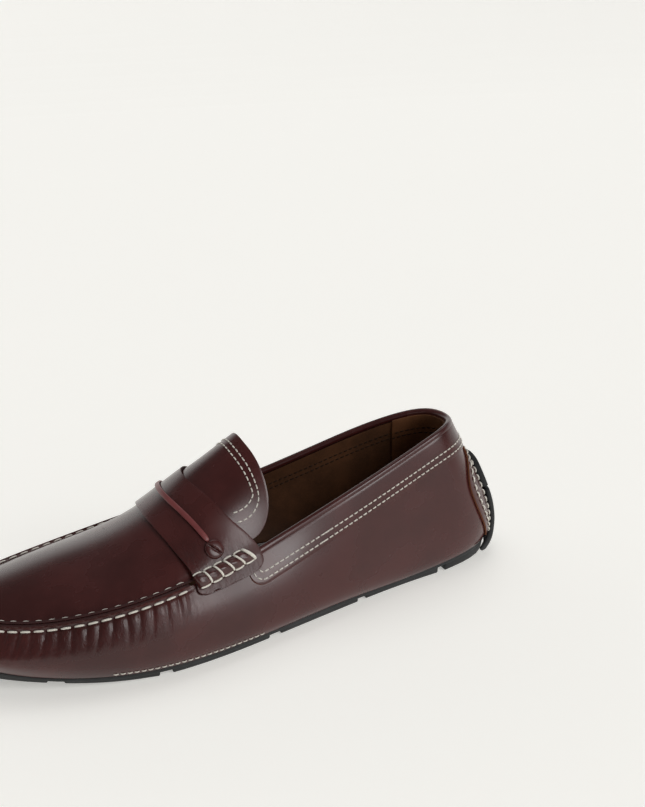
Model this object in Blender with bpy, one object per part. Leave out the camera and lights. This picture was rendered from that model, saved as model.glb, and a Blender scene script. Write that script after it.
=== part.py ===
"""Leather driving moccasin, left foot: every piece of the shoe as its own closed solid.

All sizes below are millimetres. The toe points along -X, the heel along +X, the outer (lateral) side of
the foot along -Y and the ground is z = 0. One smooth wall, drawn through the stations round the shoe,
carries every leather layer: a layer is the wall moved out or in by a few tenths.
"""
import bmesh
import bpy
import numpy as np

MM = 0.001
ORIGIN = (1.32, -2.46)          # middle of the shoe's box in the drawing below, moved to x = y = 0

# ---- driving dimensions ---------------------------------------------------------------------------
# Round the shoe from the heel by the lateral side: foot of the wall, top of the wall, how far the wall
# bellies out above its foot and below its top, and the height of the tread there.
STATIONS = {
    #                  foot x, y, z          top x, y, z            low out, up  high out, down  tread
    "heel_back":      (142.0, -0.5, 9.5,     124.0, 0.0, 75.5,      7.0, 14.0,   9.0, 22.0,      4.0),
    "heel_corner_l":  (134.0, -19.0, 9.5,    117.0, -11.0, 76.0,    6.5, 14.0,   9.0, 22.0,      2.5),
    "heel_l":         (105.0, -26.5, 5.8,    103.0, -16.5, 72.5,    7.0, 12.0,   8.0, 20.0,      0.0),
    "waist_l":        (55.0, -34.0, 4.5,     57.0, -27.0, 59.5,     9.0, 10.0,   6.0, 18.0,      0.0),
    "instep_l":       (9.0, -44.0, 4.4,      6.5, -33.2, 44.0,      9.0, 10.0,   8.0, 12.0,      0.0),
    "ball_l":         (-50.0, -52.0, 4.5,    -46.0, -47.0, 36.6,    7.0, 10.0,   9.0, 12.0,      0.0),
    "toe_l":          (-103.0, -39.5, 8.4,   -97.5, -38.2, 31.3,    7.0, 10.0,   10.0, 12.0,     4.5),
    "toe_corner_l":   (-129.5, -24.0, 13.5,  -123.3, -22.0, 31.2,   7.0, 10.0,   10.0, 12.0,     8.4),
    "toe_tip":        (-141.7, 2.5, 16.0,    -138.7, 5.5, 32.0,     5.5, 10.0,   9.0, 12.0,      10.0),
    "toe_corner_m":   (-127.5, 29.0, 14.0,   -120.8, 25.5, 31.0,    6.8, 10.0,   10.0, 12.0,     8.0),
    "toe_m":          (-92.0, 43.5, 9.0,     -89.3, 35.7, 32.5,     7.0, 10.0,   10.0, 12.0,     3.5),
    "ball_m":         (-40.0, 46.0, 5.0,     -36.8, 42.2, 37.5,     7.0, 10.0,   9.0, 12.0,      0.0),
    "instep_m":       (10.5, 34.5, 5.0,      7.0, 37.2, 46.0,       9.0, 10.0,   8.0, 12.0,      0.0),
    "waist_m":        (55.0, 33.0, 5.0,      57.0, 34.5, 58.0,      9.0, 10.0,   6.0, 18.0,      0.0),
    "heel_m":         (105.0, 29.0, 6.0,     103.0, 25.5, 71.5,     7.0, 12.0,   8.0, 20.0,      0.0),
    "heel_corner_m":  (131.5, 22.0, 9.3,     120.5, 14.0, 75.8,     6.5, 14.0,   9.0, 22.0,      2.5),
}
STEPS = (3, 3, 5, 4, 5, 6, 5, 5, 5, 5, 6, 5, 4, 5, 3, 3)     # mesh columns from each station to the next
CREST = ((-138.7, 32.0), (-128.0, 35.5), (-110.0, 40.0), (-85.0, 45.5), (-60.0, 50.0), (-45.0, 55.5),
         (-21.0, 70.0), (-10.0, 76.0), (5.0, 84.5), (20.0, 93.0))      # x, z of the top along the middle

SEAM_INSET = 2.5                # the apron's standing edge, in from the upper's outer face
STRAP_LEVELS = (0.7, 1.6)       # underside and top of the saddle strap, above the apron
KEEPER_LEVELS = (1.95, 2.9)
LEATHER = 1.1                   # thickness of the upper, apron and tongue
GAP = 0.35                      # clearance between neighbouring pieces
RIDGE = 1.5                     # how far the two sewn edges stand up along the toe seam
RIM = 1.4                       # the upper's edge lies this far under the top of its binding
BINDING_LEG = 3.0
BAND_DEPTH = 16.7               # lower edge of the collar band under the topline
TAB_CENTRE = -3.3               # the back seam, measured round the wall from the heel_back station
TAB_HALF_WIDTHS = ((0.76, 3.0), (0.72, 10.5), (0.66, 17.5), (0.58, 22.0), (0.45, 23.3), (0.25, 21.5),
                   (0.04, 18.0))
ROLL_X = (-31.5, -2.0)          # beef rolls: from, to
ROLL_LUMPS = 5
SADDLE_FRONT = (-42.0, 0.006)   # x on the middle line, and how fast the edge sweeps back with y squared
SADDLE_REAR = (-19.5, 0.0165)
KEEPER = (-30.5, 0.0095)
KEEPER_WIDTH = 3.0
DISC_RADIUS = 4.5
DISC_Y = (-35.0, 34.8)
DISC_SLOT = 0.45                # half the slot's width
DISC_LEVELS = (1.95, 2.9, 4.1)   # underside, floor of the slot and top, above the strap's bed
ROLL_HALF_WIDTH = 3.7
ROLL_HEIGHT = 3.0
ROLL_BASE = 2.7                 # flat underside of the roll, above the seam
GUARD_UPPER = ((0.645, 2.5), (0.625, 6.5), (0.58, 9.5), (0.51, 11.0), (0.44, 11.0))
GUARD_LOWER = ((0.41, 10.5), (0.38, 11.6), (0.28, 11.4), (0.16, 10.6), (0.05, 9.5))
GUARD_THREAD = ((0.04, 11.4), (0.16, 12.6), (0.28, 13.4), (0.44, 13.4), (0.56, 12.0), (0.62, 9.0),
                (0.66, 5.0))
GUARD_OUT = 4.6                 # outer face of the guard, above the wall
TONGUE_OUTLINE = ((-33.2, -7.0), (-32.7, 0.0), (-31.6, 5.0), (-29.8, 10.0), (-26.8, 12.8), (-22.0, 13.0),
                  (-15.0, 11.3), (-7.0, 9.4), (0.0, 8.8), (8.0, 8.8), (16.0, 9.2), (22.0, 9.0), (26.6, 6.6),
                  (29.2, 2.6), (30.6, -2.0), (31.2, -8.0))      # y from the tongue's middle, x
TONGUE_MIDDLE = 1.5             # the tongue is centred on this y
SOLE_GAPS = ((-100.0, -93.7), (-52.0, -46.6), (3.6, 8.7), (55.0, 58.5), (104.6, 107.7))
SOLE_MIDDLE = (-116.0, 116.0)   # ends of the sole's middle line
SOLE_BASE = 1.4                 # rubber sheet that joins the sole blocks


# ---- curves and surfaces --------------------------------------------------------------------------
class Spline:
    """A smooth curve through points at rising parameters; it closes on itself when a period is given."""

    def __init__(self, stops, points, period=None):
        s = np.asarray(stops, float)
        p = np.asarray(points, float).reshape(len(s), -1)
        self.period = period
        if period:
            s = np.append(s, s[0] + period)
            p = np.vstack([p, p[:1]])
        h = np.diff(s)
        slope = np.diff(p, axis=0) / h[:, None]
        count = len(s)
        a = np.zeros((count, count))
        rhs = np.zeros_like(p)
        for i in range(1, count - 1):
            a[i, i - 1:i + 2] = h[i - 1], 2 * (h[i - 1] + h[i]), h[i]
            rhs[i] = 6 * (slope[i] - slope[i - 1])
        if period:
            a[0, 0], a[0, -1] = 1, -1
            a[-1, :2] = 2 * h[0], h[0]
            a[-1, -2:] = h[-1], 2 * h[-1]
            rhs[-1] = 6 * (slope[0] - slope[-1])
        else:
            a[0, 0] = a[-1, -1] = 1
        self.s, self.p, self.h, self.m = s, p, h, np.linalg.solve(a, rhs)

    def __call__(self, at):
        at = np.asarray(at, float)
        if self.period:
            at = np.mod(at - self.s[0], self.period) + self.s[0]
        k = np.clip(np.searchsorted(self.s, at, side="right") - 1, 0, len(self.h) - 1)
        h = self.h[k][..., None]
        a = at[..., None] - self.s[k][..., None]
        b = h - a
        bend = (self.m[k] * b ** 3 + self.m[k + 1] * a ** 3) / (6 * h)
        return bend + (self.p[k] / h - self.m[k] * h / 6) * b + (self.p[k + 1] / h - self.m[k + 1] * h / 6) * a


def unit(v):
    return v / np.linalg.norm(v, axis=-1, keepdims=True)


NAMES = list(STATIONS)
TABLE = np.array(list(STATIONS.values()))
MIDDLES = (TABLE[:, 0:2] + TABLE[:, 3:5]) / 2
SPANS = np.linalg.norm(np.roll(MIDDLES, -1, axis=0) - MIDDLES, axis=1)
GIRTH = SPANS.sum()
STOPS = np.concatenate([[0.0], np.cumsum(SPANS)[:-1]])
RING = Spline(STOPS, TABLE, GIRTH)
TOE = STOPS[NAMES.index("toe_tip")]
COLUMNS = np.concatenate([s + w * np.arange(n) / n for s, w, n in zip(STOPS, SPANS, STEPS)])
UP = np.array([0.0, 0.0, 1.0])


def outward(u):
    """Level direction away from the shoe at u."""
    u = np.asarray(u, float)
    along = RING(u + 0.5) - RING(u - 0.5)
    t = unit(along[..., 0:2] + along[..., 3:5])
    return np.stack([-t[..., 1], t[..., 0], np.zeros_like(t[..., 0])], axis=-1)


def wall(u, v):
    """Outer face of the upper: u runs round it, v from 0 at the sole to 1 at the top."""
    u, v = np.broadcast_arrays(np.asarray(u, float), np.asarray(v, float))
    r, out = RING(u), outward(u)
    foot, top = r[..., 0:3], r[..., 3:6]
    low = foot + out * r[..., 6:7] + UP * r[..., 7:8]
    high = top + out * r[..., 8:9] - UP * r[..., 9:10]
    v = v[..., None]
    w = 1 - v
    return w ** 3 * foot + 3 * w * w * v * low + 3 * w * v * v * high + v ** 3 * top


def wall_normal(u, v):
    u, v = np.broadcast_arrays(np.asarray(u, float), np.asarray(v, float))
    e = 1e-3
    return unit(np.cross(wall(u, v + e) - wall(u, v - e), wall(u + 1, v) - wall(u - 1, v)))


def v_below(u, depth):
    """The v that lies a given distance down the wall from its top."""
    v = np.linspace(1, 0, 60)
    lengths = np.concatenate([[0.0], np.cumsum(np.linalg.norm(np.diff(wall(u, v), axis=0), axis=1))])
    return float(np.interp(depth, lengths, v))


def skin(u, v, out=0.0):
    """A point on the wall, moved out by a distance."""
    return wall(u, v) + wall_normal(u, v) * out


DENSE = np.linspace(0, GIRTH, 2001)
TOPLINE = RING(DENSE)[:, 3:6]
FEATHER = RING(DENSE)[:, 0:3]


def side_u(x, side, line=TOPLINE):
    """Where the top (or the foot) of the wall has this x, on the lateral (-1) or medial (+1) side."""
    part = (DENSE <= TOE) if side < 0 else (DENSE >= TOE)
    xs, us = line[part, 0], DENSE[part]
    order = np.argsort(xs)
    return float(np.interp(x, xs[order], us[order]))


CREST_LINE = Spline([x for x, z in CREST], [[z] for x, z in CREST])


def crown(x, y):
    """Height of the apron, saddle bed and tongue at x, y."""
    lateral, medial = (RING(side_u(x, side))[3:6] for side in (-1, 1))
    share = (y - lateral[1]) / (medial[1] - lateral[1])
    across = 2 * share - 1
    edge = lateral[2] + (medial[2] - lateral[2]) * share
    rise = CREST_LINE(x)[0] - (lateral[2] + medial[2]) / 2
    return edge + rise * (1 - across ** 2)


def crown_normal(x, y):
    e = 0.5
    slope_x = (crown(x + e, y) - crown(x - e, y)) / (2 * e)
    slope_y = (crown(x, y + e) - crown(x, y - e)) / (2 * e)
    return unit(np.array([-slope_x, -slope_y, 1.0]))


def seam_frame(u):
    """At the toe seam: its point, the way its edges stand up, and the way across it, outwards."""
    point = RING(u)[3:6]
    inside = point - outward(u) * 4.0
    way = unit(wall_normal(u, 1.0) + crown_normal(inside[0], inside[1]) * (1.0 + ridge_share(u)))
    along = RING(u + 0.5)[3:6] - RING(u - 0.5)[3:6]
    across = unit(np.cross(along, way))
    return point, way, across if np.dot(across, outward(u)) > 0 else -across


def ridge_share(u):
    """1 along the toe seam, 0 where the beef rolls and the topline are."""
    start, end = side_u(ROLL_X[0], -1), side_u(ROLL_X[0], 1)
    return float(np.clip((u - start - 2) / 4, 0, 1) * np.clip((end - u - 2) / 4, 0, 1))


# ---- meshes ---------------------------------------------------------------------------------------
def material(name, rgb, roughness):
    mat = bpy.data.materials.new(name)
    mat.use_nodes = True
    shader = mat.node_tree.nodes["Principled BSDF"]
    shader.inputs["Base Color"].default_value = (*rgb, 1)
    shader.inputs["Roughness"].default_value = roughness
    shader.inputs["Metallic"].default_value = 0.0
    mat.diffuse_color = (*rgb, 1)
    return mat


def add_object(name, bm, finish):
    bmesh.ops.remove_doubles(bm, verts=bm.verts, dist=1e-6)
    bmesh.ops.dissolve_degenerate(bm, edges=bm.edges, dist=1e-6)
    bmesh.ops.triangulate(bm, faces=bm.faces)
    bmesh.ops.recalc_face_normals(bm, faces=bm.faces)
    if bm.calc_volume(signed=True) < 0:
        bmesh.ops.reverse_faces(bm, faces=bm.faces)
    mesh = bpy.data.meshes.new(name)
    bm.to_mesh(mesh)
    bm.free()
    mesh.shade_smooth()
    mesh.set_sharp_from_angle(angle=0.7)
    mesh.materials.append(material(name, *finish))
    obj = bpy.data.objects.new(name, mesh)
    bpy.context.scene.collection.objects.link(obj)
    return obj


def place(points):
    """Drawing millimetres to metres in the shoe's own frame."""
    return (np.asarray(points, float) - (*ORIGIN, 0.0)) * MM


def grid_faces(rows, columns, wrap=False):
    faces = []
    for i in range(rows - 1):
        for j in range(columns if wrap else columns - 1):
            k = (j + 1) % columns
            faces.append((i * columns + j, i * columns + k, (i + 1) * columns + k, (i + 1) * columns + j))
    return faces


def bridge_faces(first, columns):
    """Closes the last ring of a grid by joining each column to its partner across the shoe."""
    half = columns // 2
    return [(first + j, first + j + 1, first + (columns - j - 1) % columns, first + (columns - j) % columns)
            for j in range(half)]


def point_normals(points, faces):
    normals = np.zeros_like(points)
    for face in faces:
        a, b, c, d = (points[i] for i in face)
        for i in set(face):
            normals[i] += np.cross(c - a, d - b)
    return unit(normals)


def thicken(bm, points, faces, normals, low, high):
    """Adds the closed solid between a surface moved by low and the same surface moved by high."""
    near = [bm.verts.new(p) for p in place(points + normals * high)]
    far = [bm.verts.new(p) for p in place(points + normals * low)]
    border = set()
    for face in faces:
        ring = list(dict.fromkeys(face))
        bm.faces.new([near[i] for i in ring])
        bm.faces.new([far[i] for i in reversed(ring)])
        for i, j in zip(ring, ring[1:] + ring[:1]):
            if (j, i) in border:
                border.remove((j, i))
            else:
                border.add((i, j))
    for i, j in sorted(border):
        bm.faces.new((near[j], near[i], far[i], far[j]))


def shell(name, grid, low, high, finish, normals=None, wrap=False, extra=()):
    """A layer of leather or rubber on a grid of points, given as rows of equal length."""
    grid = np.asarray(grid, float)
    rows, columns = grid.shape[:2]
    points = grid.reshape(-1, 3)
    faces = grid_faces(rows, columns, wrap) + list(extra)
    if normals is None:
        normals = point_normals(points, faces)
    else:
        normals = np.asarray(normals, float).reshape(-1, 3)
    bm = bmesh.new()
    thicken(bm, points, faces, normals, low, high)
    return add_object(name, bm, finish)


def wall_layer(name, us, v_rows, low, high, finish):
    """A layer on the wall; v_rows holds, for each u, the list of v from its top edge to its bottom edge."""
    columns = list(zip(*v_rows))
    grid = [wall(us, np.array(row)) for row in columns]
    normals = [wall_normal(us, np.array(row)) for row in columns]
    return shell(name, grid, low, high, finish, normals)


def sweep(bm, sections, closed=False):
    """Joins equal rings of points into one closed solid, with its ends capped unless it runs in a loop."""
    rings = [[bm.verts.new(p) for p in place(section)] for section in sections]
    count = len(rings[0])
    pairs = list(zip(rings, rings[1:] + rings[:1])) if closed else list(zip(rings, rings[1:]))
    for one, two in pairs:
        for i in range(count):
            j = (i + 1) % count
            bm.faces.new((one[i], one[j], two[j], two[i]))
    if not closed:
        bm.faces.new(rings[0][::-1])
        bm.faces.new(rings[-1])


def ribbon(bm, path, normals, width, low, high):
    """A flat thread along a path, from low to high above the surface."""
    path, normals = np.asarray(path), np.asarray(normals)
    side = unit(np.cross(np.gradient(path, axis=0), normals)) * width / 2
    sweep(bm, [[p + n * low - s, p + n * low + s, p + n * high + s, p + n * high - s]
               for p, n, s in zip(path, normals, side)])


def columns_between(start, stop):
    """The mesh columns from start to stop, going forwards round the shoe, with both ends."""
    inside = [c + turn for turn in (-GIRTH, 0.0, GIRTH) for c in COLUMNS if start + 2 < c + turn < stop - 2]
    return np.array([start, *sorted(inside), stop])


OXBLOOD = ((0.075, 0.016, 0.015), 0.32)
ROSE = ((0.20, 0.055, 0.055), 0.4)
THREAD = ((0.75, 0.70, 0.60), 0.7)
RUBBER = ((0.032, 0.034, 0.034), 0.6)
LINING = ((0.10, 0.045, 0.020), 0.6)
FOAM = ((0.55, 0.50, 0.42), 0.9)
BOARD = ((0.45, 0.33, 0.20), 0.85)


# ---- the pieces -----------------------------------------------------------------------------------
def edge_depth(u):
    """Depth of the upper's edge under the top of the wall: raised at the toe seam, sunk in the binding."""
    if side_u(ROLL_X[0], -1) < u < side_u(ROLL_X[0], 1):
        return -RIDGE * ridge_share(u)
    behind = np.clip((side_u(ROLL_X[1], -1) - u) / 4, 0, 1) + np.clip((u - side_u(ROLL_X[1], 1)) / 4, 0, 1)
    return RIM * float(behind)


def partner_u(u):
    """The place across the shoe, matched station by station."""
    stops = np.append(STOPS, GIRTH)
    return float(np.interp(np.mod(u, GIRTH), stops, stops[::-1]))


def sole_middle(x):
    """The middle of the foot line's two sides at x."""
    x = np.clip(x, SOLE_MIDDLE[0], SOLE_MIDDLE[1])
    return (RING(side_u(x, -1, FEATHER))[0:3] + RING(side_u(x, 1, FEATHER))[0:3]) / 2


def under_foot(u, share, inset=0.0, lift=0.0):
    """A point under the foot: share 0 is the foot of the wall, 1 the middle line of the sole."""
    one, two = RING(u)[0:3], RING(partner_u(u))[0:3]
    middle = sole_middle((one[0] + two[0]) / 2)
    start = one - outward(u) * inset
    return start + (middle - start) * share + UP * lift


def make_upper():
    v_rows = (0.86, 0.72, 0.58, 0.44, 0.31, 0.19, 0.09)
    tops, top_normals, seconds, second_normals = [], [], [], []
    for u in COLUMNS:
        depth = edge_depth(u)
        v = v_below(u, max(depth, 0.0))
        point, way, across = seam_frame(u)
        tops.append(wall(u, v) + way * max(-depth, 0.0))
        top_normals.append(across if depth < 0 else wall_normal(u, v))
        v = v_below(u, max(depth, 0.0) + 0.3)
        seconds.append(wall(u, v))
        second_normals.append(wall_normal(u, v))
    grid = [tops, seconds]
    normals = [top_normals, second_normals]
    for v in v_rows:
        grid.append(wall(COLUMNS, v))
        normals.append(wall_normal(COLUMNS, v))
    grid.append(wall(COLUMNS, 0.0))
    normals.append(unit(wall_normal(COLUMNS, 0.0) - UP))
    for share in (0.12, 0.4, 0.75):
        grid.append([under_foot(u, share) for u in COLUMNS])
        normals.append(np.tile(-UP, (len(COLUMNS), 1)))
    cap = bridge_faces((len(grid) - 1) * len(COLUMNS), len(COLUMNS))
    shell("upper", grid, -LEATHER, 0.0, OXBLOOD, normals, wrap=True, extra=cap)


def seam_columns(x_end):
    start, stop = side_u(x_end, -1), side_u(x_end, 1)
    half = np.array([start, *[c for c in COLUMNS if start + 3 < c < TOE - 1]])
    return np.array([*half, TOE, *[partner_u(u) for u in half[::-1]]])


def make_apron():
    us = seam_columns(-7.0)[::-1]
    edge, base, rows, normals = [], [], [], []
    for u in us:
        point, way, across = seam_frame(u)
        base.append(point - across * SEAM_INSET - way * 0.2)
        edge.append(base[-1] + way * (0.6 + RIDGE * ridge_share(u)))
        rows.append([apron_point(u, share) for share in (0.12, 0.3, 0.6)])
        normals.append(-across)
    grid = [edge, base] + [list(row) for row in zip(*rows)]
    columns = len(us)
    first = (len(grid) - 1) * columns
    cap = [(first + j, first + j + 1, first + columns - j - 2, first + columns - j - 1)
           for j in range(columns // 2)]
    points = np.asarray(grid, float).reshape(-1, 3)
    all_normals = point_normals(points, grid_faces(len(grid), columns) + cap)
    all_normals[:columns] = normals
    shell("apron", grid, -LEATHER, 0.0, OXBLOOD, all_normals, extra=cap)


def apron_point(u, share):
    """A point of the apron between the toe seam (share 0) and the middle line (share 1)."""
    one = RING(u)[3:6] - outward(u) * SEAM_INSET
    two = RING(partner_u(u))[3:6]
    bow = 15.0 * np.clip((one[0] + 60.0) / 53.0, 0.0, 1.0) ** 2
    middle_x = max((one[0] + two[0]) / 2 - bow, -114.0)
    middle_y = (one[1] + two[1]) / 2
    x = one[0] + (middle_x - one[0]) * share * (2 - share if bow > 0 else 1)
    y = one[1] + (middle_y - one[1]) * share
    return np.array([x, y, crown(x, y)])


def strap_x(edge, y):
    return edge[0] + edge[1] * y * y


def surface_run(points):
    """Normals of a run of points over the top of the shoe."""
    return np.array([crown_normal(p[0], p[1]) for p in points])


def make_saddle():
    """The strap over the instep, from one rounded flap under its beef roll to the other."""
    rows = 6
    flap = ((10.5, 0.24), (9.3, 0.09), (6.0, 0.0), (2.5, 0.0))      # depth under the seam, corner cut
    grid = []
    for i in range(rows):
        along = i / (rows - 1)
        line = []
        for side in (-1, 1):
            part = []
            for depth, cut in flap:
                share = cut + (1 - 2 * cut) * along
                x = ROLL_X[0] + 0.5 + (ROLL_X[1] + 5.0 - ROLL_X[0]) * share
                u = side_u(x, side)
                part.append(wall(u, v_below(u, depth)))
            x = ROLL_X[0] + 0.5 + (ROLL_X[1] + 4.5 - ROLL_X[0]) * along
            u = side_u(x, side)
            point, way, across = seam_frame(u)
            part.append(point + way * 0.6)
            if side < 0:
                line += part + [over_top(along, t) for t in np.linspace(-0.86, 0.86, 9)]
            else:
                line += part[::-1]
        grid.append(line[::-1])
    shell("saddle", grid, STRAP_LEVELS[0], STRAP_LEVELS[1], OXBLOOD)


def over_top(along, across):
    """A point of the strap's bed: along 0 to 1 from its front to its rear edge, across -1 to 1."""
    half = 33.0 + 8.0 * (1 - along)
    y = TONGUE_MIDDLE + half * across
    x = strap_x(SADDLE_FRONT, y) * (1 - along) + strap_x(SADDLE_REAR, y) * along
    return np.array([x, y, crown(x, y)])


def make_keeper():
    ys = np.linspace(DISC_Y[0] + DISC_RADIUS + 0.6, DISC_Y[1] - DISC_RADIUS - 0.6, 15)
    path = np.array([[strap_x(KEEPER, y), y, crown(strap_x(KEEPER, y), y)] for y in ys])
    bm = bmesh.new()
    ribbon(bm, path, surface_run(path), KEEPER_WIDTH, *KEEPER_LEVELS)
    add_object("keeper_strip", bm, ROSE)
    for y, name in ((DISC_Y[0], "keeper_disc_lateral"), (DISC_Y[1], "keeper_disc_medial")):
        make_disc(name, y)


def make_disc(name, y):
    """A round of thick leather with a slot across it for the strip."""
    x = strap_x(KEEPER, y)
    centre = np.array([x, y, crown(x, y)])
    normal = surface_run([centre])[0]
    along = unit(np.cross(normal, (1.0, 0.0, 0.0)))
    across = np.cross(normal, along)
    start = np.arcsin(DISC_SLOT / DISC_RADIUS)
    slot_end = DISC_RADIUS * np.cos(start)
    lobe = [(DISC_RADIUS * np.cos(a), DISC_RADIUS * np.sin(a)) for a in np.linspace(start, np.pi - start, 9)]
    outline = lobe + [(-x, -y) for x, y in lobe]
    slot = [(slot_end, DISC_SLOT), (-slot_end, DISC_SLOT), (-slot_end, -DISC_SLOT), (slot_end, -DISC_SLOT)]

    def at(p, height):
        return centre + along * p[0] + across * p[1] + normal * height

    bm = bmesh.new()
    low = [bm.verts.new(p) for p in place([at(p, DISC_LEVELS[0]) for p in outline])]
    mid = [bm.verts.new(p) for p in place([at(p, DISC_LEVELS[1]) for p in outline])]
    top = [bm.verts.new(p) for p in place([at(p, DISC_LEVELS[2]) for p in outline])]
    count, half = len(outline), len(lobe)
    bm.faces.new(low)
    for i in range(count):
        j = (i + 1) % count
        bm.faces.new((low[i], low[j], mid[j], mid[i]))
        if j % half:
            bm.faces.new((mid[i], mid[j], top[j], top[i]))
    for first in (0, half):
        lobe_top = top[first:first + half]
        bm.faces.new(lobe_top)
        bm.faces.new((mid[first], top[first], top[first + half - 1], mid[first + half - 1]))
    bm.faces.new((mid[0], mid[half - 1], mid[half], mid[count - 1]))
    add_object(name, bm, OXBLOOD)


def roll_arc(u, swell, out=0.0, points=6, trim=0.0):
    """The roll's top arc at u, from its inner to its outer foot."""
    point, way, across = seam_frame(u)
    centre = point + way * ROLL_BASE
    angles = np.linspace(np.pi - trim, trim, points)
    return [centre + across * np.cos(a) * (ROLL_HALF_WIDTH * swell + out)
            + way * np.sin(a) * (ROLL_HEIGHT * swell + out) for a in angles]


def make_rolls():
    """The lumpy rolled ends of the strap, and the thick thread that whips each one down."""
    for side, name in ((-1, "lateral"), (1, "medial")):
        ends = [side_u(x, side) for x in ROLL_X]
        us = np.linspace(*ends, 4 * ROLL_LUMPS + 1)
        bm = bmesh.new()
        sweep(bm, [roll_arc(u, 0.88 + 0.12 * np.sin(np.pi * (i % 4) / 4)) for i, u in enumerate(us)])
        add_object(f"beef_roll_{name}", bm, OXBLOOD)
        path, normals = [], []
        for turn, u in enumerate(us[::4]):
            arc = roll_arc(u, 0.88, GAP + 0.3, 7, 0.4)[::1 if turn % 2 else -1]
            path += arc
            point, way, across = seam_frame(u)
            normals += [unit(p - point - way * (ROLL_BASE - 1.0)) for p in arc]
        bm = bmesh.new()
        ribbon(bm, path, normals, 1.1, 0.0, 0.9)
        add_object(f"roll_thread_{name}", bm, THREAD)


TONGUE_RIM = np.array([(x, y + TONGUE_MIDDLE) for y, x in TONGUE_OUTLINE])
TONGUE_RUN = np.concatenate([[0.0], np.cumsum(np.linalg.norm(np.diff(TONGUE_RIM, axis=0), axis=1))])
TONGUE_CURVE = Spline(TONGUE_RUN, TONGUE_RIM)


def tongue_rim(t, inset):
    """The tongue's rounded edge at t, moved in by inset, and where the strap's rear edge lies before it."""
    along = unit(TONGUE_CURVE(t + 0.1) - TONGUE_CURVE(t - 0.1))
    rim = TONGUE_CURVE(t) + np.stack([-along[:, 1], along[:, 0]], axis=-1) * inset
    return rim, strap_x(SADDLE_REAR, rim[:, 1]) + 0.6 + 0.06 * np.abs(rim[:, 1] - TONGUE_MIDDLE)


def tongue_grid(rows=6, columns=19, inset=0.0):
    """Points of the tongue from the strap's rear edge to the tongue's own rounded edge."""
    t = np.linspace(0.2, TONGUE_RUN[-1] - 0.2, 300)
    rim, start = tongue_rim(t, inset)
    clear = t[rim[:, 0] > start + 1.2]
    rim, start = tongue_rim(np.linspace(clear[0], clear[-1], columns), inset)
    grid = []
    for share in np.linspace(0, 1, rows):
        xs = start + (rim[:, 0] - start) * share
        grid.append([[x, y, crown(x, y)] for x, y in zip(xs, rim[:, 1])][::-1])
    return np.array(grid)


def make_tongue():
    shell("tongue", tongue_grid(), -LEATHER, 0.0, OXBLOOD)
    shell("tongue_lining", tongue_grid(inset=0.6), -LEATHER - GAP - 0.8, -LEATHER - GAP, LINING)
    for inset, name in ((4.6, "tongue_thread_outer"), (7.2, "tongue_thread_inner")):
        grid = tongue_grid(2, 19, inset)
        path = grid[-1]
        bm = bmesh.new()
        ribbon(bm, path, surface_run(path), 0.8, 0.3, 0.7)
        add_object(name, bm, THREAD)


def top_range(x_lateral, x_medial):
    """From the medial side round the heel to the lateral side, in rising u."""
    return side_u(x_medial, 1) - GIRTH, side_u(x_lateral, -1)


def make_collar():
    """The rolled binding on the topline, the band under it and the band's two rows of stitching."""
    us = columns_between(*top_range(ROLL_X[1] + 7.5, ROLL_X[1] + 7.5))
    section = ((1.2, BINDING_LEG), (1.2, 0.9), (0.6, 0.15), (-0.55, -0.1), (-1.7, 0.15), (-2.3, 0.9),
               (-2.3, BINDING_LEG), (-1.6, BINDING_LEG), (-1.5, 0.9), (GAP, 0.9), (GAP, BINDING_LEG))
    bm = bmesh.new()
    sweep(bm, [[skin(u, v_below(u, max(d, 0.0)), t) + UP * max(-d, 0.0) for t, d in section] for u in us])
    add_object("topline_binding", bm, OXBLOOD)
    us = columns_between(*top_range(ROLL_X[1] + 8.0, ROLL_X[1] + 8.0))
    depths = (BINDING_LEG + GAP, 8.0, 12.5, BAND_DEPTH)
    rows = [[v_below(u, d) for d in depths] for u in us]
    wall_layer("collar_band", us, rows, GAP, GAP + 0.9, OXBLOOD)
    for depth, name in ((11.2, "band_thread_upper"), (14.4, "band_thread_lower")):
        path = [wall(u, v_below(u, depth)) for u in us]
        normals = [wall_normal(u, v_below(u, depth)) for u in us]
        bm = bmesh.new()
        ribbon(bm, path, normals, 0.8, GAP + 1.25, GAP + 1.65)
        add_object(name, bm, THREAD)


def tab_half_width(v):
    vs, widths = zip(*TAB_HALF_WIDTHS[::-1])
    return float(Spline(vs, [[w] for w in widths])(v)[0])


def make_heel_tab():
    """The leather patch on the back of the heel, with its thread."""
    grid, normals = [], []
    for v in (0.76, 0.74, 0.70, 0.65, 0.58, 0.51, 0.44, 0.375, 0.31, 0.25, 0.19, 0.14, 0.09, 0.04):
        us = TAB_CENTRE + tab_half_width(v) * np.linspace(-1, 1, 11)
        grid.append(wall(us, v))
        normals.append(wall_normal(us, v))
    shell("heel_tab", grid, GAP, GAP + 1.2, OXBLOOD, normals)
    guard = Spline(*zip(*GUARD_THREAD))
    rows = (("heel_tab_thread", 0.71, lambda v: tab_half_width(v) - 3.2),
            ("heel_guard_thread", 0.665, lambda v: guard(v)[0]))
    for name, v_top, half_width in rows:
        run = [(-half_width(v), v) for v in np.linspace(0.06, v_top, 11)]
        top = [(run[-1][0] * s, v_top + 0.012 * (1 - s * s)) for s in (0.6, 0.2, -0.2, -0.6)]
        offsets, vs = zip(*run, *top, *[(-u, v) for u, v in run[::-1]])
        us = TAB_CENTRE + np.array(offsets)
        vs = np.array(vs)
        bm = bmesh.new()
        ribbon(bm, wall(us, vs), wall_normal(us, vs), 1.0, GAP + 1.7, GAP + 2.1)
        add_object(name, bm, THREAD)


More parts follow.
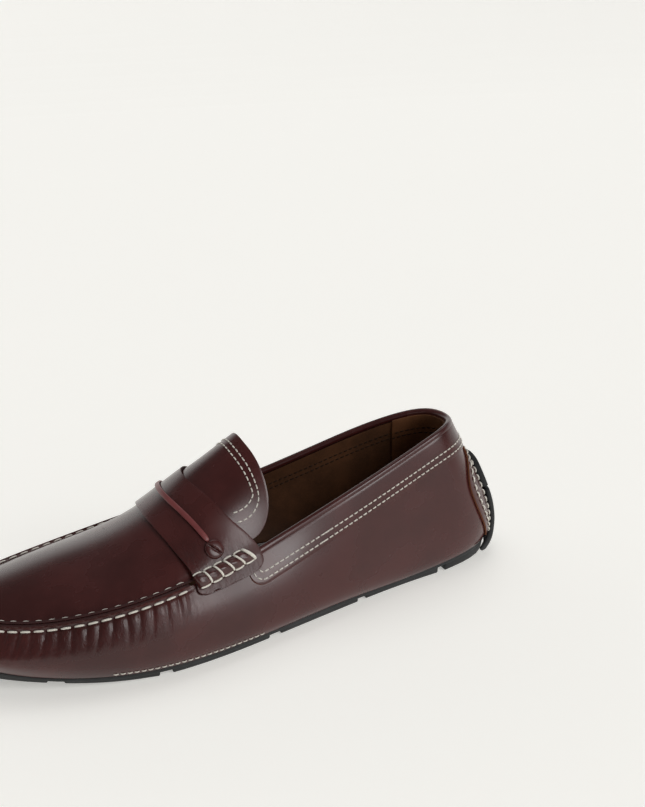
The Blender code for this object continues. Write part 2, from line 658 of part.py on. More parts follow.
def make_heel_guard():
    """Two rubber pads on the back of the heel: a rounded one over a slot, and one that runs under."""
    for name, levels in (("heel_guard_upper", GUARD_UPPER), ("heel_guard_lower", GUARD_LOWER)):
        grid, normals = [], []
        for v, width in levels:
            us = TAB_CENTRE + width * np.linspace(-1, 1, 7)
            grid.append(wall(us, v))
            normals.append(wall_normal(us, v))
        shell(name, grid, GAP + 1.2 + GAP, GUARD_OUT, RUBBER, normals)


def tread_height(x):
    """The ground clearance of the sole blocks at x: none but for the toe spring and the heel curve."""
    height = (RING(side_u(x, -1, FEATHER))[10] + RING(side_u(x, 1, FEATHER))[10]) / 2
    return height if height > 0.35 else 0.0


def make_outsole():
    """One rubber moulding: a thin base under the leather with two rings of blocks standing down from it."""
    gaps = []
    for side in (-1, 1):
        for pair in SOLE_GAPS:
            gaps.append(sorted(side_u(x, side, FEATHER) for x in pair))
    marks = sorted(u for gap in gaps for u in gap)
    columns = sorted(marks + [u for u in COLUMNS[::2] if min(abs(u - m) for m in marks) > 5.0])
    half = [u for u in columns if 0 < u < TOE - 2]
    us = np.array([0.0, *half, TOE, *[partner_for_sole(u) for u in half[::-1]]])
    count = len(us)
    in_gap = [any(a - 0.1 <= us[j] and us[j] + 0.5 < b for a, b in gaps) for j in range(count)]
    shares = (0.0, 0.40, 0.52, 0.88)
    lift = -GAP
    top = [[under_foot(u, share, 0.4, lift) for u in us] for share in shares]
    base = [[under_foot(u, share, 1.2, lift - SOLE_BASE) for u in us] for share in shares]
    tread = []
    for share in shares:
        line = []
        for u in us:
            p = under_foot(u, share, 2.0)
            p[2] = tread_height(p[0])
            line.append(p)
        tread.append(line)
    bm = bmesh.new()
    rings = {}
    for key, rows in (("top", top), ("base", base)):
        rings[key] = [[bm.verts.new(p) for p in place(row)] for row in rows]
    last = len(shares) - 1
    for j in range(count):
        k = (j + 1) % count
        bm.faces.new((rings["top"][0][j], rings["top"][0][k], rings["base"][0][k], rings["base"][0][j]))
    for key in ("top", "base"):
        for i in range(last):
            for j in range(count):
                k = (j + 1) % count
                if key == "base" and i != 1 and not in_gap[j]:
                    continue
                bm.faces.new((rings[key][i][j], rings[key][i][k], rings[key][i + 1][k], rings[key][i + 1][j]))
        for j in range(count // 2):
            ring = [rings[key][last][n % count] for n in (j, j + 1, count - j - 1, count - j)]
            bm.faces.new(list(dict.fromkeys(ring)))
    for i in (0, 2):
        for run in block_runs(in_gap):
            feet = [[bm.verts.new(p) for p in place([tread[i][n % count], tread[i + 1][n % count]])] for n in run]
            heads = [(rings["base"][i][n % count], rings["base"][i + 1][n % count]) for n in run]
            for n in range(len(run) - 1):
                bm.faces.new((feet[n][0], feet[n + 1][0], feet[n + 1][1], feet[n][1]))
                bm.faces.new((heads[n][0], heads[n + 1][0], feet[n + 1][0], feet[n][0]))
                bm.faces.new((heads[n][1], heads[n + 1][1], feet[n + 1][1], feet[n][1]))
            for n in (0, -1):
                bm.faces.new((heads[n][0], heads[n][1], feet[n][1], feet[n][0]))
    add_object("outsole", bm, RUBBER)


def partner_for_sole(u):
    """The same x on the other side of the sole."""
    return side_u(RING(u)[0], 1, FEATHER)


def block_runs(in_gap):
    """Runs of columns that a block covers, going round the sole and over the start."""
    count = len(in_gap)
    first = in_gap.index(True)
    runs, run = [], []
    for n in range(first + 1, first + count + 1):
        run.append(n)
        if in_gap[n % count]:
            runs.append(run)
            run = []
    return [r for r in runs if len(r) > 1]


def make_sole_thread():
    for side, name in ((-1, "lateral"), (1, "medial")):
        us = np.sort([side_u(x, side, FEATHER) for x in np.linspace(-72.0, -1.0, 9)])
        bm = bmesh.new()
        ribbon(bm, wall(us, 0.06), wall_normal(us, 0.06), 0.7, 0.3, 0.65)
        add_object(f"sole_thread_{name}", bm, THREAD)


def make_seam_thread():
    start, stop = side_u(ROLL_X[0] - 2.5, -1), side_u(ROLL_X[0] - 2.5, 1)
    us = columns_between(start, stop)
    outer = [wall(u, v_below(u, 1.5)) for u in us]
    bm = bmesh.new()
    ribbon(bm, outer, [wall_normal(u, 0.97) for u in us], 1.1, 0.3, 0.9)
    add_object("seam_thread_outer", bm, THREAD)
    frames = [seam_frame(u) for u in us]
    inner = [point - across * SEAM_INSET + way * 0.8 for point, way, across in frames]
    bm = bmesh.new()
    ribbon(bm, inner, [-across for point, way, across in frames], 0.9, 0.4, 0.9)
    add_object("seam_thread_inner", bm, THREAD)


def make_linings():
    """Inside layers of the back half: a lining on each side, one round the heel, and the stiff counter."""
    front = ROLL_X[1] + 9.0
    turn = 46.0
    low = -LEATHER - GAP
    v_rows = (0.8, 0.6, 0.42, 0.26, 0.14)
    spans = (("quarter_lining_lateral", turn, side_u(front, -1)),
             ("quarter_lining_medial", side_u(front, 1), GIRTH - turn),
             ("heel_lining", -turn + 1.5, turn - 1.5))
    for name, start, stop in spans:
        us = columns_between(start, stop)
        rows = [[v_below(u, BINDING_LEG + GAP), *v_rows] for u in us]
        deep = low - 0.75 if name == "heel_lining" else low
        wall_layer(name, us, rows, deep - 0.7, deep, LINING)
    us = columns_between(-38.0, 38.0)
    rows = [[v_below(u, 9.0), *v_rows] for u in us]
    wall_layer("heel_counter", us, rows, low - 0.45, low, BOARD)


def make_insole():
    """The foam footbed on the leather under the foot, and the leather sock on top of it."""
    for name, base, top, finish in (("insole_foam", LEATHER + GAP, LEATHER + GAP + 2.2, FOAM),
                                    ("insole_sock", LEATHER + 2 * GAP + 2.2, LEATHER + 2 * GAP + 3.0, LINING)):
        us = COLUMNS[::2]
        grid = [[under_foot(u, share, 3.4) for u in us] for share in (0.0, 0.3, 0.7)]
        cap = bridge_faces(2 * len(us), len(us))
        normals = np.tile(UP, (3 * len(us), 1))
        shell(name, grid, base, top, finish, normals, wrap=True, extra=cap)


def main():
    for obj in list(bpy.data.objects):
        bpy.data.objects.remove(obj, do_unlink=True)
    make_upper()
    make_apron()
    make_seam_thread()
    make_saddle()
    make_keeper()
    make_rolls()
    make_tongue()
    make_collar()
    make_heel_tab()
    make_heel_guard()
    make_outsole()
    make_sole_thread()
    make_linings()
    make_insole()


main()
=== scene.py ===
"""Driving moccasin, left foot: the finished look of every piece, built on the shoe's own wall surface.

Sizes in the tables are millimetres in the last maker's drawing: the toe points along -X, the outer side of
the foot along -Y, and the ground is z = 0. place() turns them into metres in the shoe's frame.
"""
import math

import bmesh
import bpy
import numpy as np
from mathutils import Matrix, Quaternion, Vector


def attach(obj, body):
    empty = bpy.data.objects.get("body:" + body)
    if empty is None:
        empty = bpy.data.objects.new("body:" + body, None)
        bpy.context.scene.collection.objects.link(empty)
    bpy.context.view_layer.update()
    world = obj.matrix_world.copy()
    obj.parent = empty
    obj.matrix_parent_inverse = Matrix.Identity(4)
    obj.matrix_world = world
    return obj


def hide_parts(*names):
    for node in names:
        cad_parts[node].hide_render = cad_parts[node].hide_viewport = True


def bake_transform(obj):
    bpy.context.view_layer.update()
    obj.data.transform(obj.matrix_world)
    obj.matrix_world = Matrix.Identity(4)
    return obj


bl_info = {
    "name": "Driving moccasin",
    "version": (1, 0, 0),
    "blender": (4, 5, 0),
    "location": "3D View > Sidebar > Moccasin",
    "description": "Builds a hand-sewn leather driving moccasin and its studio",
    "category": "Add Mesh",
}

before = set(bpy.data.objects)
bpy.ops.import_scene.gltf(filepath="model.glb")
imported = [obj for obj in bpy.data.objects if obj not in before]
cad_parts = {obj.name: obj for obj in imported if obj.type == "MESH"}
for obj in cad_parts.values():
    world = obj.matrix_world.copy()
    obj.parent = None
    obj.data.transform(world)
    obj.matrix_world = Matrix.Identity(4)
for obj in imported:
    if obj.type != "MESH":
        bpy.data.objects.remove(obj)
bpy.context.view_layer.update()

MM = 0.001
ORIGIN = (1.32, -2.46, 0.0)

# ---- the last ---------------------------------------------------------------------------------------
# Round the shoe from the heel by the outer side: foot of the wall, top of the wall, how far the wall
# bellies out above its foot and below its top, and the height of the tread there.
STATIONS = {
    "heel_back":      (142.0, -0.5, 9.5,     124.0, 0.0, 75.5,      7.0, 14.0,   9.0, 22.0,      4.0),
    "heel_corner_l":  (134.0, -19.0, 9.5,    117.0, -11.0, 76.0,    6.5, 14.0,   9.0, 22.0,      2.5),
    "heel_l":         (105.0, -26.5, 5.8,    103.0, -16.5, 72.5,    7.0, 12.0,   8.0, 20.0,      0.0),
    "waist_l":        (55.0, -34.0, 4.5,     57.0, -27.0, 59.5,     9.0, 10.0,   6.0, 18.0,      0.0),
    "instep_l":       (9.0, -44.0, 4.4,      6.5, -33.2, 44.0,      9.0, 10.0,   8.0, 12.0,      0.0),
    "ball_l":         (-50.0, -52.0, 4.5,    -46.0, -47.0, 36.6,    7.0, 10.0,   9.0, 12.0,      0.0),
    "toe_l":          (-103.0, -39.5, 8.4,   -97.5, -38.2, 31.3,    7.0, 10.0,   10.0, 12.0,     4.5),
    "toe_corner_l":   (-129.5, -24.0, 13.5,  -123.3, -22.0, 31.2,   7.0, 10.0,   10.0, 12.0,     8.4),
    "toe_tip":        (-141.7, 2.5, 16.0,    -138.7, 5.5, 32.0,     5.5, 10.0,   9.0, 12.0,      10.0),
    "toe_corner_m":   (-127.5, 29.0, 14.0,   -120.8, 25.5, 31.0,    6.8, 10.0,   10.0, 12.0,     8.0),
    "toe_m":          (-92.0, 43.5, 9.0,     -89.3, 35.7, 32.5,     7.0, 10.0,   10.0, 12.0,     3.5),
    "ball_m":         (-40.0, 46.0, 5.0,     -36.8, 42.2, 37.5,     7.0, 10.0,   9.0, 12.0,      0.0),
    "instep_m":       (10.5, 34.5, 5.0,      7.0, 37.2, 46.0,       9.0, 10.0,   8.0, 12.0,      0.0),
    "waist_m":        (55.0, 33.0, 5.0,      57.0, 34.5, 58.0,      9.0, 10.0,   6.0, 18.0,      0.0),
    "heel_m":         (105.0, 29.0, 6.0,     103.0, 25.5, 71.5,     7.0, 12.0,   8.0, 20.0,      0.0),
    "heel_corner_m":  (131.5, 22.0, 9.3,     120.5, 14.0, 75.8,     6.5, 14.0,   9.0, 22.0,      2.5),
}
CREST = ((-138.7, 32.0), (-128.0, 35.5), (-110.0, 40.0), (-85.0, 45.5), (-60.0, 50.0), (-45.0, 55.5),
         (-21.0, 70.0), (-10.0, 76.0), (5.0, 84.5), (20.0, 93.0))      # x, z of the top along the middle

LEATHER = 1.1
GAP = 0.35
RIDGE = 1.5
RIM = 1.4
SEAM_INSET = 2.5
BINDING_LEG = 3.0
BAND_DEPTH = 16.7
BAND_CORNER = 8.0
STRAP_TOP = 1.6
STRAP_THICK = 0.9
KEEPER_LEVELS = (1.95, 2.9)
KEEPER = (-30.5, 0.0095)
DISC_Y = (-35.0, 34.8)
ROLL_X = (-31.5, -2.0)
ROLL_INNER = (-31.8, -5.2)      # the roll's inner foot: from, to; its outer foot runs further back
ROLL_OUTER = (-31.0, -1.4)
ROLL_HALF_WIDTH = 3.3
ROLL_HEIGHT = 3.0
ROLL_BASE = 2.7
SADDLE_FRONT = (-42.0, 0.006)
SADDLE_REAR = (-19.5, 0.0165)
SADDLE_FLAP = ((9.8, 0.24), (8.8, 0.09), (5.8, 0.0), (2.5, 0.0))      # depth under the seam, corner cut
TAB_CENTRE = -3.3
TAB_HALF_WIDTHS = ((0.04, 18.0), (0.25, 21.5), (0.45, 23.3), (0.58, 22.0), (0.66, 17.5), (0.72, 10.5),
                   (0.76, 3.0))
GUARD_UPPER = ((0.44, 11.0), (0.51, 11.0), (0.58, 9.5), (0.625, 6.5), (0.645, 2.5))
GUARD_LOWER = ((0.05, 9.5), (0.16, 10.6), (0.28, 11.4), (0.38, 11.6), (0.41, 10.5))
GUARD_THREAD = ((0.04, 11.4), (0.16, 12.6), (0.28, 13.4), (0.44, 13.4), (0.56, 12.0), (0.62, 9.0),
                (0.66, 5.0))
GUARD_OUT = 4.6
TONGUE_OUTLINE = ((-34.4, -5.0), (-34.0, 0.0), (-33.0, 4.6), (-31.2, 8.8), (-28.6, 12.0), (-25.0, 13.6),
                  (-20.5, 13.4), (-14.0, 11.7), (-7.0, 9.6), (0.0, 8.8), (8.0, 8.8), (16.0, 9.2),
                  (22.0, 9.0), (26.6, 6.6), (29.2, 2.6), (30.6, -2.0), (31.2, -8.0))     # y from the middle, x
TONGUE_MIDDLE = 1.5
SOLE_GAPS = ((-100.2, -93.5), (-52.2, -46.4), (3.2, 9.1), (54.4, 59.1), (104.0, 108.3))
SOLE_MIDDLE = (-116.0, 116.0)
SOLE_BASE = 1.4
UP = np.array([0.0, 0.0, 1.0])


class Spline:
    """A smooth curve through points at rising parameters; it closes on itself when a period is given."""

    def __init__(self, stops, points, period=None):
        s = np.asarray(stops, float)
        p = np.asarray(points, float).reshape(len(s), -1)
        self.period = period
        if period:
            s = np.append(s, s[0] + period)
            p = np.vstack([p, p[:1]])
        h = np.diff(s)
        slope = np.diff(p, axis=0) / h[:, None]
        count = len(s)
        a = np.zeros((count, count))
        rhs = np.zeros_like(p)
        for i in range(1, count - 1):
            a[i, i - 1:i + 2] = h[i - 1], 2 * (h[i - 1] + h[i]), h[i]
            rhs[i] = 6 * (slope[i] - slope[i - 1])
        if period:
            a[0, 0], a[0, -1] = 1, -1
            a[-1, :2] = 2 * h[0], h[0]
            a[-1, -2:] = h[-1], 2 * h[-1]
            rhs[-1] = 6 * (slope[0] - slope[-1])
        else:
            a[0, 0] = a[-1, -1] = 1
        self.s, self.p, self.h, self.m = s, p, h, np.linalg.solve(a, rhs)

    def __call__(self, at):
        at = np.asarray(at, float)
        if self.period:
            at = np.mod(at - self.s[0], self.period) + self.s[0]
        k = np.clip(np.searchsorted(self.s, at, side="right") - 1, 0, len(self.h) - 1)
        h = self.h[k][..., None]
        a = at[..., None] - self.s[k][..., None]
        b = h - a
        bend = (self.m[k] * b ** 3 + self.m[k + 1] * a ** 3) / (6 * h)
        return bend + (self.p[k] / h - self.m[k] * h / 6) * b + (self.p[k + 1] / h - self.m[k + 1] * h / 6) * a


def unit(v):
    return v / np.linalg.norm(v, axis=-1, keepdims=True)


def smooth(low, high, value):
    """0 below low, 1 above high, and an even turn between them."""
    t = np.clip((np.asarray(value, float) - low) / (high - low), 0, 1)
    return t * t * (3 - 2 * t)


def run_length(path):
    """Distance along a path to each of its points."""
    return np.concatenate([[0.0], np.cumsum(np.linalg.norm(np.diff(path, axis=0), axis=1))])


TABLE = np.array(list(STATIONS.values()))
MIDDLES = (TABLE[:, 0:2] + TABLE[:, 3:5]) / 2
SPANS = np.linalg.norm(np.roll(MIDDLES, -1, axis=0) - MIDDLES, axis=1)
GIRTH = SPANS.sum()
STOPS = np.concatenate([[0.0], np.cumsum(SPANS)[:-1]])
RING = Spline(STOPS, TABLE, GIRTH)
TOE = STOPS[list(STATIONS).index("toe_tip")]
DENSE = np.linspace(0, GIRTH, 2001)
TOPLINE = RING(DENSE)[:, 3:6]
FEATHER = RING(DENSE)[:, 0:3]
CREST_LINE = Spline([x for x, z in CREST], [z for x, z in CREST])
TAB_SIDE = Spline(*zip(*TAB_HALF_WIDTHS))
GUARD_SIDE = Spline(*zip(*GUARD_THREAD))


def outward(u):
    """Level direction away from the shoe at u."""
    u = np.asarray(u, float)
    along = RING(u + 0.5) - RING(u - 0.5)
    t = unit(along[..., 0:2] + along[..., 3:5])
    return np.stack([-t[..., 1], t[..., 0], np.zeros_like(t[..., 0])], axis=-1)


def wall(u, v):
    """Outer face of the upper: u runs round it, v from 0 at the sole to 1 at the top."""
    u, v = np.broadcast_arrays(np.asarray(u, float), np.asarray(v, float))
    r, out = RING(u), outward(u)
    foot, top = r[..., 0:3], r[..., 3:6]
    low = foot + out * r[..., 6:7] + UP * r[..., 7:8]
    high = top + out * r[..., 8:9] - UP * r[..., 9:10]
    v = v[..., None]
    w = 1 - v
    return w ** 3 * foot + 3 * w * w * v * low + 3 * w * v * v * high + v ** 3 * top


def wall_normal(u, v):
    u, v = np.broadcast_arrays(np.asarray(u, float), np.asarray(v, float))
    e = 1e-3
    return unit(np.cross(wall(u, v + e) - wall(u, v - e), wall(u + 1, v) - wall(u - 1, v)))


def v_below(u, depth):
    """The v that lies a given distance down the wall from its top."""
    u, depth = np.broadcast_arrays(np.asarray(u, float), np.asarray(depth, float))
    v = np.linspace(1, 0, 49)
    down = wall(u.reshape(-1, 1), v)
    lengths = np.linalg.norm(np.diff(down, axis=1), axis=2).cumsum(axis=1)
    lengths = np.hstack([np.zeros((len(lengths), 1)), lengths])
    d = np.maximum(depth.ravel(), 0.0)
    k = np.clip((lengths < d[:, None]).sum(axis=1), 1, len(v) - 1)
    row = np.arange(len(k))
    a, b = lengths[row, k - 1], lengths[row, k]
    return (v[k - 1] + (v[k] - v[k - 1]) * np.clip((d - a) / (b - a), 0, 1)).reshape(u.shape)


def skin(u, depth, out=0.0):
    """A point of the wall at a depth under its top, moved out by a distance."""
    v = v_below(u, depth)
    return wall(u, v) + wall_normal(u, v) * np.asarray(out, float)[..., None]


def side_u(x, side, line=TOPLINE):
    """Where the top (or the foot) of the wall has this x, on the lateral (-1) or medial (+1) side."""
    part = (DENSE <= TOE) if side < 0 else (DENSE >= TOE)
    order = np.argsort(line[part, 0])
    return np.interp(x, line[part, 0][order], DENSE[part][order])


def partner_u(u):
    """The place across the shoe, matched station by station."""
    stops = np.append(STOPS, GIRTH)
    return np.interp(np.mod(u, GIRTH), stops, stops[::-1])


def crown(x, y):
    """Height of the apron, saddle bed and tongue at x, y."""
    lateral, medial = (RING(side_u(x, side))[..., 3:6] for side in (-1, 1))
    share = (y - lateral[..., 1]) / (medial[..., 1] - lateral[..., 1])
    edge = lateral[..., 2] + (medial[..., 2] - lateral[..., 2]) * share
    rise = CREST_LINE(x)[..., 0] - (lateral[..., 2] + medial[..., 2]) / 2
    return edge + rise * (1 - (2 * share - 1) ** 2)


def crown_normal(x, y):
    e = 0.5
    slope_x = (crown(x + e, y) - crown(x - e, y)) / (2 * e)
    slope_y = (crown(x, y + e) - crown(x, y - e)) / (2 * e)
    return unit(np.stack([-slope_x, -slope_y, np.ones_like(slope_x)], axis=-1))


def on_crown(x, y):
    return np.stack([x, y, crown(x, y)], axis=-1)


def ridge_share(u):
    """1 along the toe seam, 0 where the rolls and the topline are."""
    start, end = side_u(ROLL_X[0], -1), side_u(ROLL_X[0], 1)
    return np.clip((u - start - 2) / 4, 0, 1) * np.clip((end - u - 2) / 4, 0, 1)


def seam_frame(u):
    """At the toe seam: its point, the way its edges stand up, and the way across it, outwards."""
    u = np.asarray(u, float)
    point = RING(u)[..., 3:6]
    inside = point - outward(u) * 4.0
    lean = crown_normal(inside[..., 0], inside[..., 1]) * (1.0 + ridge_share(u))[..., None]
    way = unit(wall_normal(u, 1.0) + lean)
    along = RING(u + 0.5)[..., 3:6] - RING(u - 0.5)[..., 3:6]
    across = unit(np.cross(along, way))
    return point, way, across * np.sign((across * outward(u)).sum(axis=-1, keepdims=True))


def strap_x(edge, y):
    return edge[0] + edge[1] * y * y


def top_range(x):
    """From the medial side round the heel to the lateral side, in rising u."""
    return side_u(x, 1) - GIRTH, side_u(x, -1)


def sole_middle(x):
    """The middle of the foot line's two sides at x."""
    x = np.clip(x, *SOLE_MIDDLE)
    return (RING(side_u(x, -1, FEATHER))[..., 0:3] + RING(side_u(x, 1, FEATHER))[..., 0:3]) / 2


def under_foot(u, share, inset=0.0, lift=0.0):
    """A point under the foot: share 0 is the foot of the wall, 1 the middle line of the sole."""
    one, two = RING(u)[..., 0:3], RING(partner_u(u))[..., 0:3]
    middle = sole_middle((one[..., 0] + two[..., 0]) / 2)
    start = one - outward(u) * inset * (1 - share)
    return start + (middle - start) * share + UP * lift


def tread_height(x):
    """Ground clearance of the sole blocks at x: none but for the toe spring and the heel curve."""
    height = (RING(side_u(x, -1, FEATHER))[..., 10] + RING(side_u(x, 1, FEATHER))[..., 10]) / 2
    return np.where(height > 0.35, height, 0.0)


def grid_normals(points):
    """Normals of a grid of points, on the side that faces up and out."""
    return unit(np.cross(np.gradient(points, axis=1), np.gradient(points, axis=0)))


def round_columns(fine, coarse):
    """Places round the shoe, close together along the toe seam, the same on both sides."""
    front = side_u(ROLL_X[0] + 8.0, -1)
    half = np.concatenate([np.arange(0.0, front, coarse),
                           np.linspace(front, TOE, int((TOE - front) / fine) + 1)])
    return np.concatenate([half, partner_u(half[1:-1])[::-1], [GIRTH]])


# ---- the seam's gathers ---------------------------------------------------------------------------
SEAM_ENDS = (side_u(ROLL_X[0] - 3.0, -1), side_u(ROLL_X[0] - 3.0, 1))
SEAM_U = np.linspace(*SEAM_ENDS, 900)
SEAM_RUN = run_length(skin(SEAM_U, 1.5))


def seam_marks(u, pitch):
    """Stitch count along the toe seam at u; each whole number is a hole that both threads share."""
    count = round(SEAM_RUN[-1] / pitch)
    return np.interp(u, SEAM_U, SEAM_RUN) / SEAM_RUN[-1] * count


def gathers(u, depth, pitch, height, reach):
    """How far the wall's leather stands out or in, where the hand stitches gather it."""
    rng = np.random.default_rng(11)
    slant = rng.uniform(-0.05, 0.05, 200)
    reaches = reach * rng.uniform(0.6, 1.25, 200)
    strength = rng.uniform(0.6, 1.15, 200)
    sharp = rng.uniform(0.15, 0.24, 200)
    mark = seam_marks(u, pitch)
    x = RING(u)[..., 3]
    side = np.where(u < TOE, 1.0, 0.75)
    level = side * (0.45 + 0.55 * smooth(-128, -95, x)) * (1 - 0.25 * smooth(-50, -32, x))
    inside = smooth(SEAM_ENDS[0] - 6, SEAM_ENDS[0] + 4, u) * smooth(-SEAM_ENDS[1] - 6, -SEAM_ENDS[1] + 4, -u)
    total = np.zeros(np.broadcast(u, depth).shape)
    for step in (-1, 0, 1):
        k = np.round(mark) + step
        i = k.astype(int) % 200
        away = mark - k + slant[i] * (depth - 2) * 0.35
        fade = np.exp(-(np.maximum(depth - 2.0, 0) / reaches[i]) ** 1.8)
        total -= strength[i] * fade * np.exp(-(away / sharp[i]) ** 2)
    bulge = 0.42 * np.exp(-((depth - 4.5) / (0.5 * reach)) ** 2)
    rise = smooth(0.3, 2.2, depth)
    pinch = -0.45 * np.exp(-((depth - 1.5) / 0.9) ** 2)
    return height * inside * (level * rise * (total + bulge) + pinch)


# ---- meshes -----------------------------------------------------------------------------------------
def place(points):
    """Drawing millimetres to metres in the shoe's own frame."""
    return (np.asarray(points, float) - ORIGIN) * MM


def spot(along, down):
    """Places on the leather: how far round the shoe, and how far down."""
    return np.stack(np.broadcast_arrays(np.asarray(along, float), down), axis=-1)


def new_mesh():
    bm = bmesh.new()
    bm.loops.layers.uv.new("surface")
    return bm


def drape(bm, points, surface=None, outside=None):
    """Lays a grid on rows of points; surface gives each point's place on the leather, in millimetres."""
    rows, columns = points.shape[:2]
    verts = bmesh.ops.create_grid(bm, x_segments=columns - 1, y_segments=rows - 1, size=0.5)["verts"]
    seats = {vert: (round((vert.co.y + 0.5) * (rows - 1)), round((vert.co.x + 0.5) * (columns - 1)))
             for vert in verts}
    placed = place(points)
    for vert, seat in seats.items():
        vert.co = placed[seat]
    faces = {face for vert in verts for face in vert.link_faces}
    if surface is not None:
        layer = bm.loops.layers.uv.verify()
        surface = np.asarray(surface) * MM
        for face in faces:
            for loop in face.loops:
                loop[layer].uv = surface[seats[loop.vert]]
    if outside is not None:
        facing = 0.0
        for face in faces:
            face.normal_update()
            facing += face.normal.dot(Vector(outside[seats[face.verts[0]]]))
        if facing < 0:
            bmesh.ops.reverse_faces(bm, faces=list(faces))


def tube(bm, centre, normal, radius, sides=6, flat=0.85, start=0.0):
    """A thread along centre, rounded off at both ends."""
    tangent = unit(np.gradient(centre, axis=0))
    side = unit(np.cross(tangent, normal))
    up = np.cross(side, tangent)
    t = run_length(centre)
    share = 2 * t / t[-1] - 1
    width = radius * np.sqrt(np.maximum(1 - np.abs(share) ** 5, 0))
    turn = np.linspace(0, 2 * np.pi, sides + 1)
    ring = side[:, None] * np.cos(turn)[None, :, None] + up[:, None] * flat * np.sin(turn)[None, :, None]
    surface = spot(t[:, None] + start, turn[None, :] * radius)
    drape(bm, centre[:, None] + ring * width[:, None, None], surface)


def stitches(bm, path, normals, pitch, length, radius, marks=None, lift=0.5, sides=6, steps=6):
    """A row of stitches on a path; each one's ends dive into the leather."""
    run = run_length(path)
    if marks is None:
        marks = run / run[-1] * max(1, round(run[-1] / pitch))
    share = length / pitch
    t = (1 - np.cos(np.linspace(0, np.pi, steps + 1))) / 2
    for k in range(int(np.ceil(marks[0] - 0.01)), int(round(marks[-1]))):
        at = k + (1 - share) / 2 + share * t
        centre = np.stack([np.interp(at, marks, path[:, i]) for i in range(3)], axis=-1)
        normal = unit(np.stack([np.interp(at, marks, normals[:, i]) for i in range(3)], axis=-1))
        bow = (np.sin(np.pi * t) ** 0.5 * (lift + 0.9) - 0.9) * radius
        tube(bm, centre + normal * bow[:, None], normal, radius, sides, start=k * length)


def piece(name, bm, finish, nodes=(), body="shoe", thick=0.0, rim=0.0, raw=None, closed=False):
    """Turns a mesh into a finished piece of the shoe: welded, smooth, and given its leather's thickness."""
    bmesh.ops.remove_doubles(bm, verts=bm.verts, dist=1e-6)
    bmesh.ops.dissolve_degenerate(bm, edges=bm.edges, dist=1e-7)
    if closed:
        bmesh.ops.recalc_face_normals(bm, faces=bm.faces)
        if bm.calc_volume(signed=True) < 0:
            bmesh.ops.reverse_faces(bm, faces=bm.faces)
    mesh = bpy.data.meshes.new(name)
    bm.to_mesh(mesh)
    bm.free()
    mesh.shade_smooth()
    mesh.materials.append(finish)
    if raw:
        mesh.materials.append(raw)
    obj = bpy.data.objects.new(name, mesh)
    bpy.context.scene.collection.objects.link(obj)
    if thick:
        wall_of = obj.modifiers.new("leather thickness", "SOLIDIFY")
        wall_of.thickness = thick * MM
        wall_of.offset = -1.0
        wall_of.material_offset_rim = 1 if raw else 0
    if rim:
        edge = obj.modifiers.new("rounded edge", "BEVEL")
        edge.width = rim * MM
        edge.segments = 2
        edge.limit_method = "ANGLE"
        edge.angle_limit = math.radians(50)
    if nodes:
        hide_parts(*nodes)
    if body:
        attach(obj, body)
    return obj


# ---- finishes ---------------------------------------------------------------------------------------
class Shade:
    """A value on its way through a finish. Python's signs add the Math nodes."""

    def __init__(self, recipe, socket):
        self.recipe, self.socket = recipe, socket

    def math(self, operation, first, second=0.0, clamp=False):
        return self.recipe.node("Math", {"operation": operation, "use_clamp": clamp}, {0: first, 1: second})

    def __add__(self, other):
        return self.math("ADD", self, other)

    def __radd__(self, other):
        return self.math("ADD", other, self)

    def __sub__(self, other):
        return self.math("SUBTRACT", self, other)

    def __rsub__(self, other):
        return self.math("SUBTRACT", other, self)

    def __mul__(self, other):
        return self.math("MULTIPLY", self, other)

    def __rmul__(self, other):
        return self.math("MULTIPLY", other, self)

    def __pow__(self, other):
        return self.math("POWER", self, other)

    def ramp(self, low, high, start=0.0, end=1.0):
        """start where the value is low, end where it is high, and an even turn between them."""
        return self.recipe.node("MapRange", {"interpolation_type": "SMOOTHSTEP"},
                                {0: self, 1: low, 2: high, 3: start, 4: end})


class Nodes:
    """A node tree and the one way to add to it."""

    def __init__(self, tree):
        self.tree = tree

    def set(self, socket, value):
        if isinstance(value, Shade):
            self.tree.links.new(value.socket, socket)
        else:
            socket.default_value = value

    def node(self, kind, settings=None, inputs=None, output=0):
        """Adds a node: its settings first, then the values or links of its sockets."""
        node = self.tree.nodes.new("ShaderNode" + kind)
        for key, value in (settings or {}).items():
            setattr(node, key, value)
        for key, value in (inputs or {}).items():
            self.set(node.inputs[key], value)
        return Shade(self, node.outputs[output])


class Recipe(Nodes):
    """The nodes of one finish."""

    def __init__(self, name, colour, roughness, **constants):
        self.material = bpy.data.materials.new(name)
        self.material.use_nodes = True
        super().__init__(self.material.node_tree)
        self.shader = self.tree.nodes["Principled BSDF"]
        self.feed({"Base Color": colour, "Roughness": roughness})
        self.feed({key.replace("_", " ").title().replace("Ior", "IOR"): value
                   for key, value in constants.items()})
        self.material.diffuse_color = colour

    def feed(self, inputs):
        for key, value in inputs.items():
            self.set(self.shader.inputs[key], value)

    def where(self, output, scale=(1, 1, 1), location=(0, 0, 0)):
        """Object or surface coordinates, stretched by a Mapping node."""
        coordinates = self.node("TexCoord", output=output)
        return self.node("Mapping", None, {"Vector": coordinates, "Scale": scale, "Location": location})

    def noise(self, where, scale, detail=2.0, roughness=0.5, distortion=0.0):
        return self.node("TexNoise", None, {"Vector": where, "Scale": scale, "Detail": detail,
                                            "Roughness": roughness, "Distortion": distortion})

    def mix(self, factor, first, second, mode="MIX"):
        return self.node("Mix", {"data_type": "RGBA", "blend_type": mode}, {0: factor, 6: first, 7: second},
                         2)

    def bump(self, height, distance, strength=1.0, normal=None):
        inputs = {"Height": height, "Distance": distance, "Strength": strength}
        if normal is not None:
            inputs["Normal"] = normal
        return self.node("Bump", None, inputs)


def shaded(colour, factor):
    """The colour made lighter or darker."""
    return (*(min(1.0, c * factor) for c in colour[:3]), 1.0)


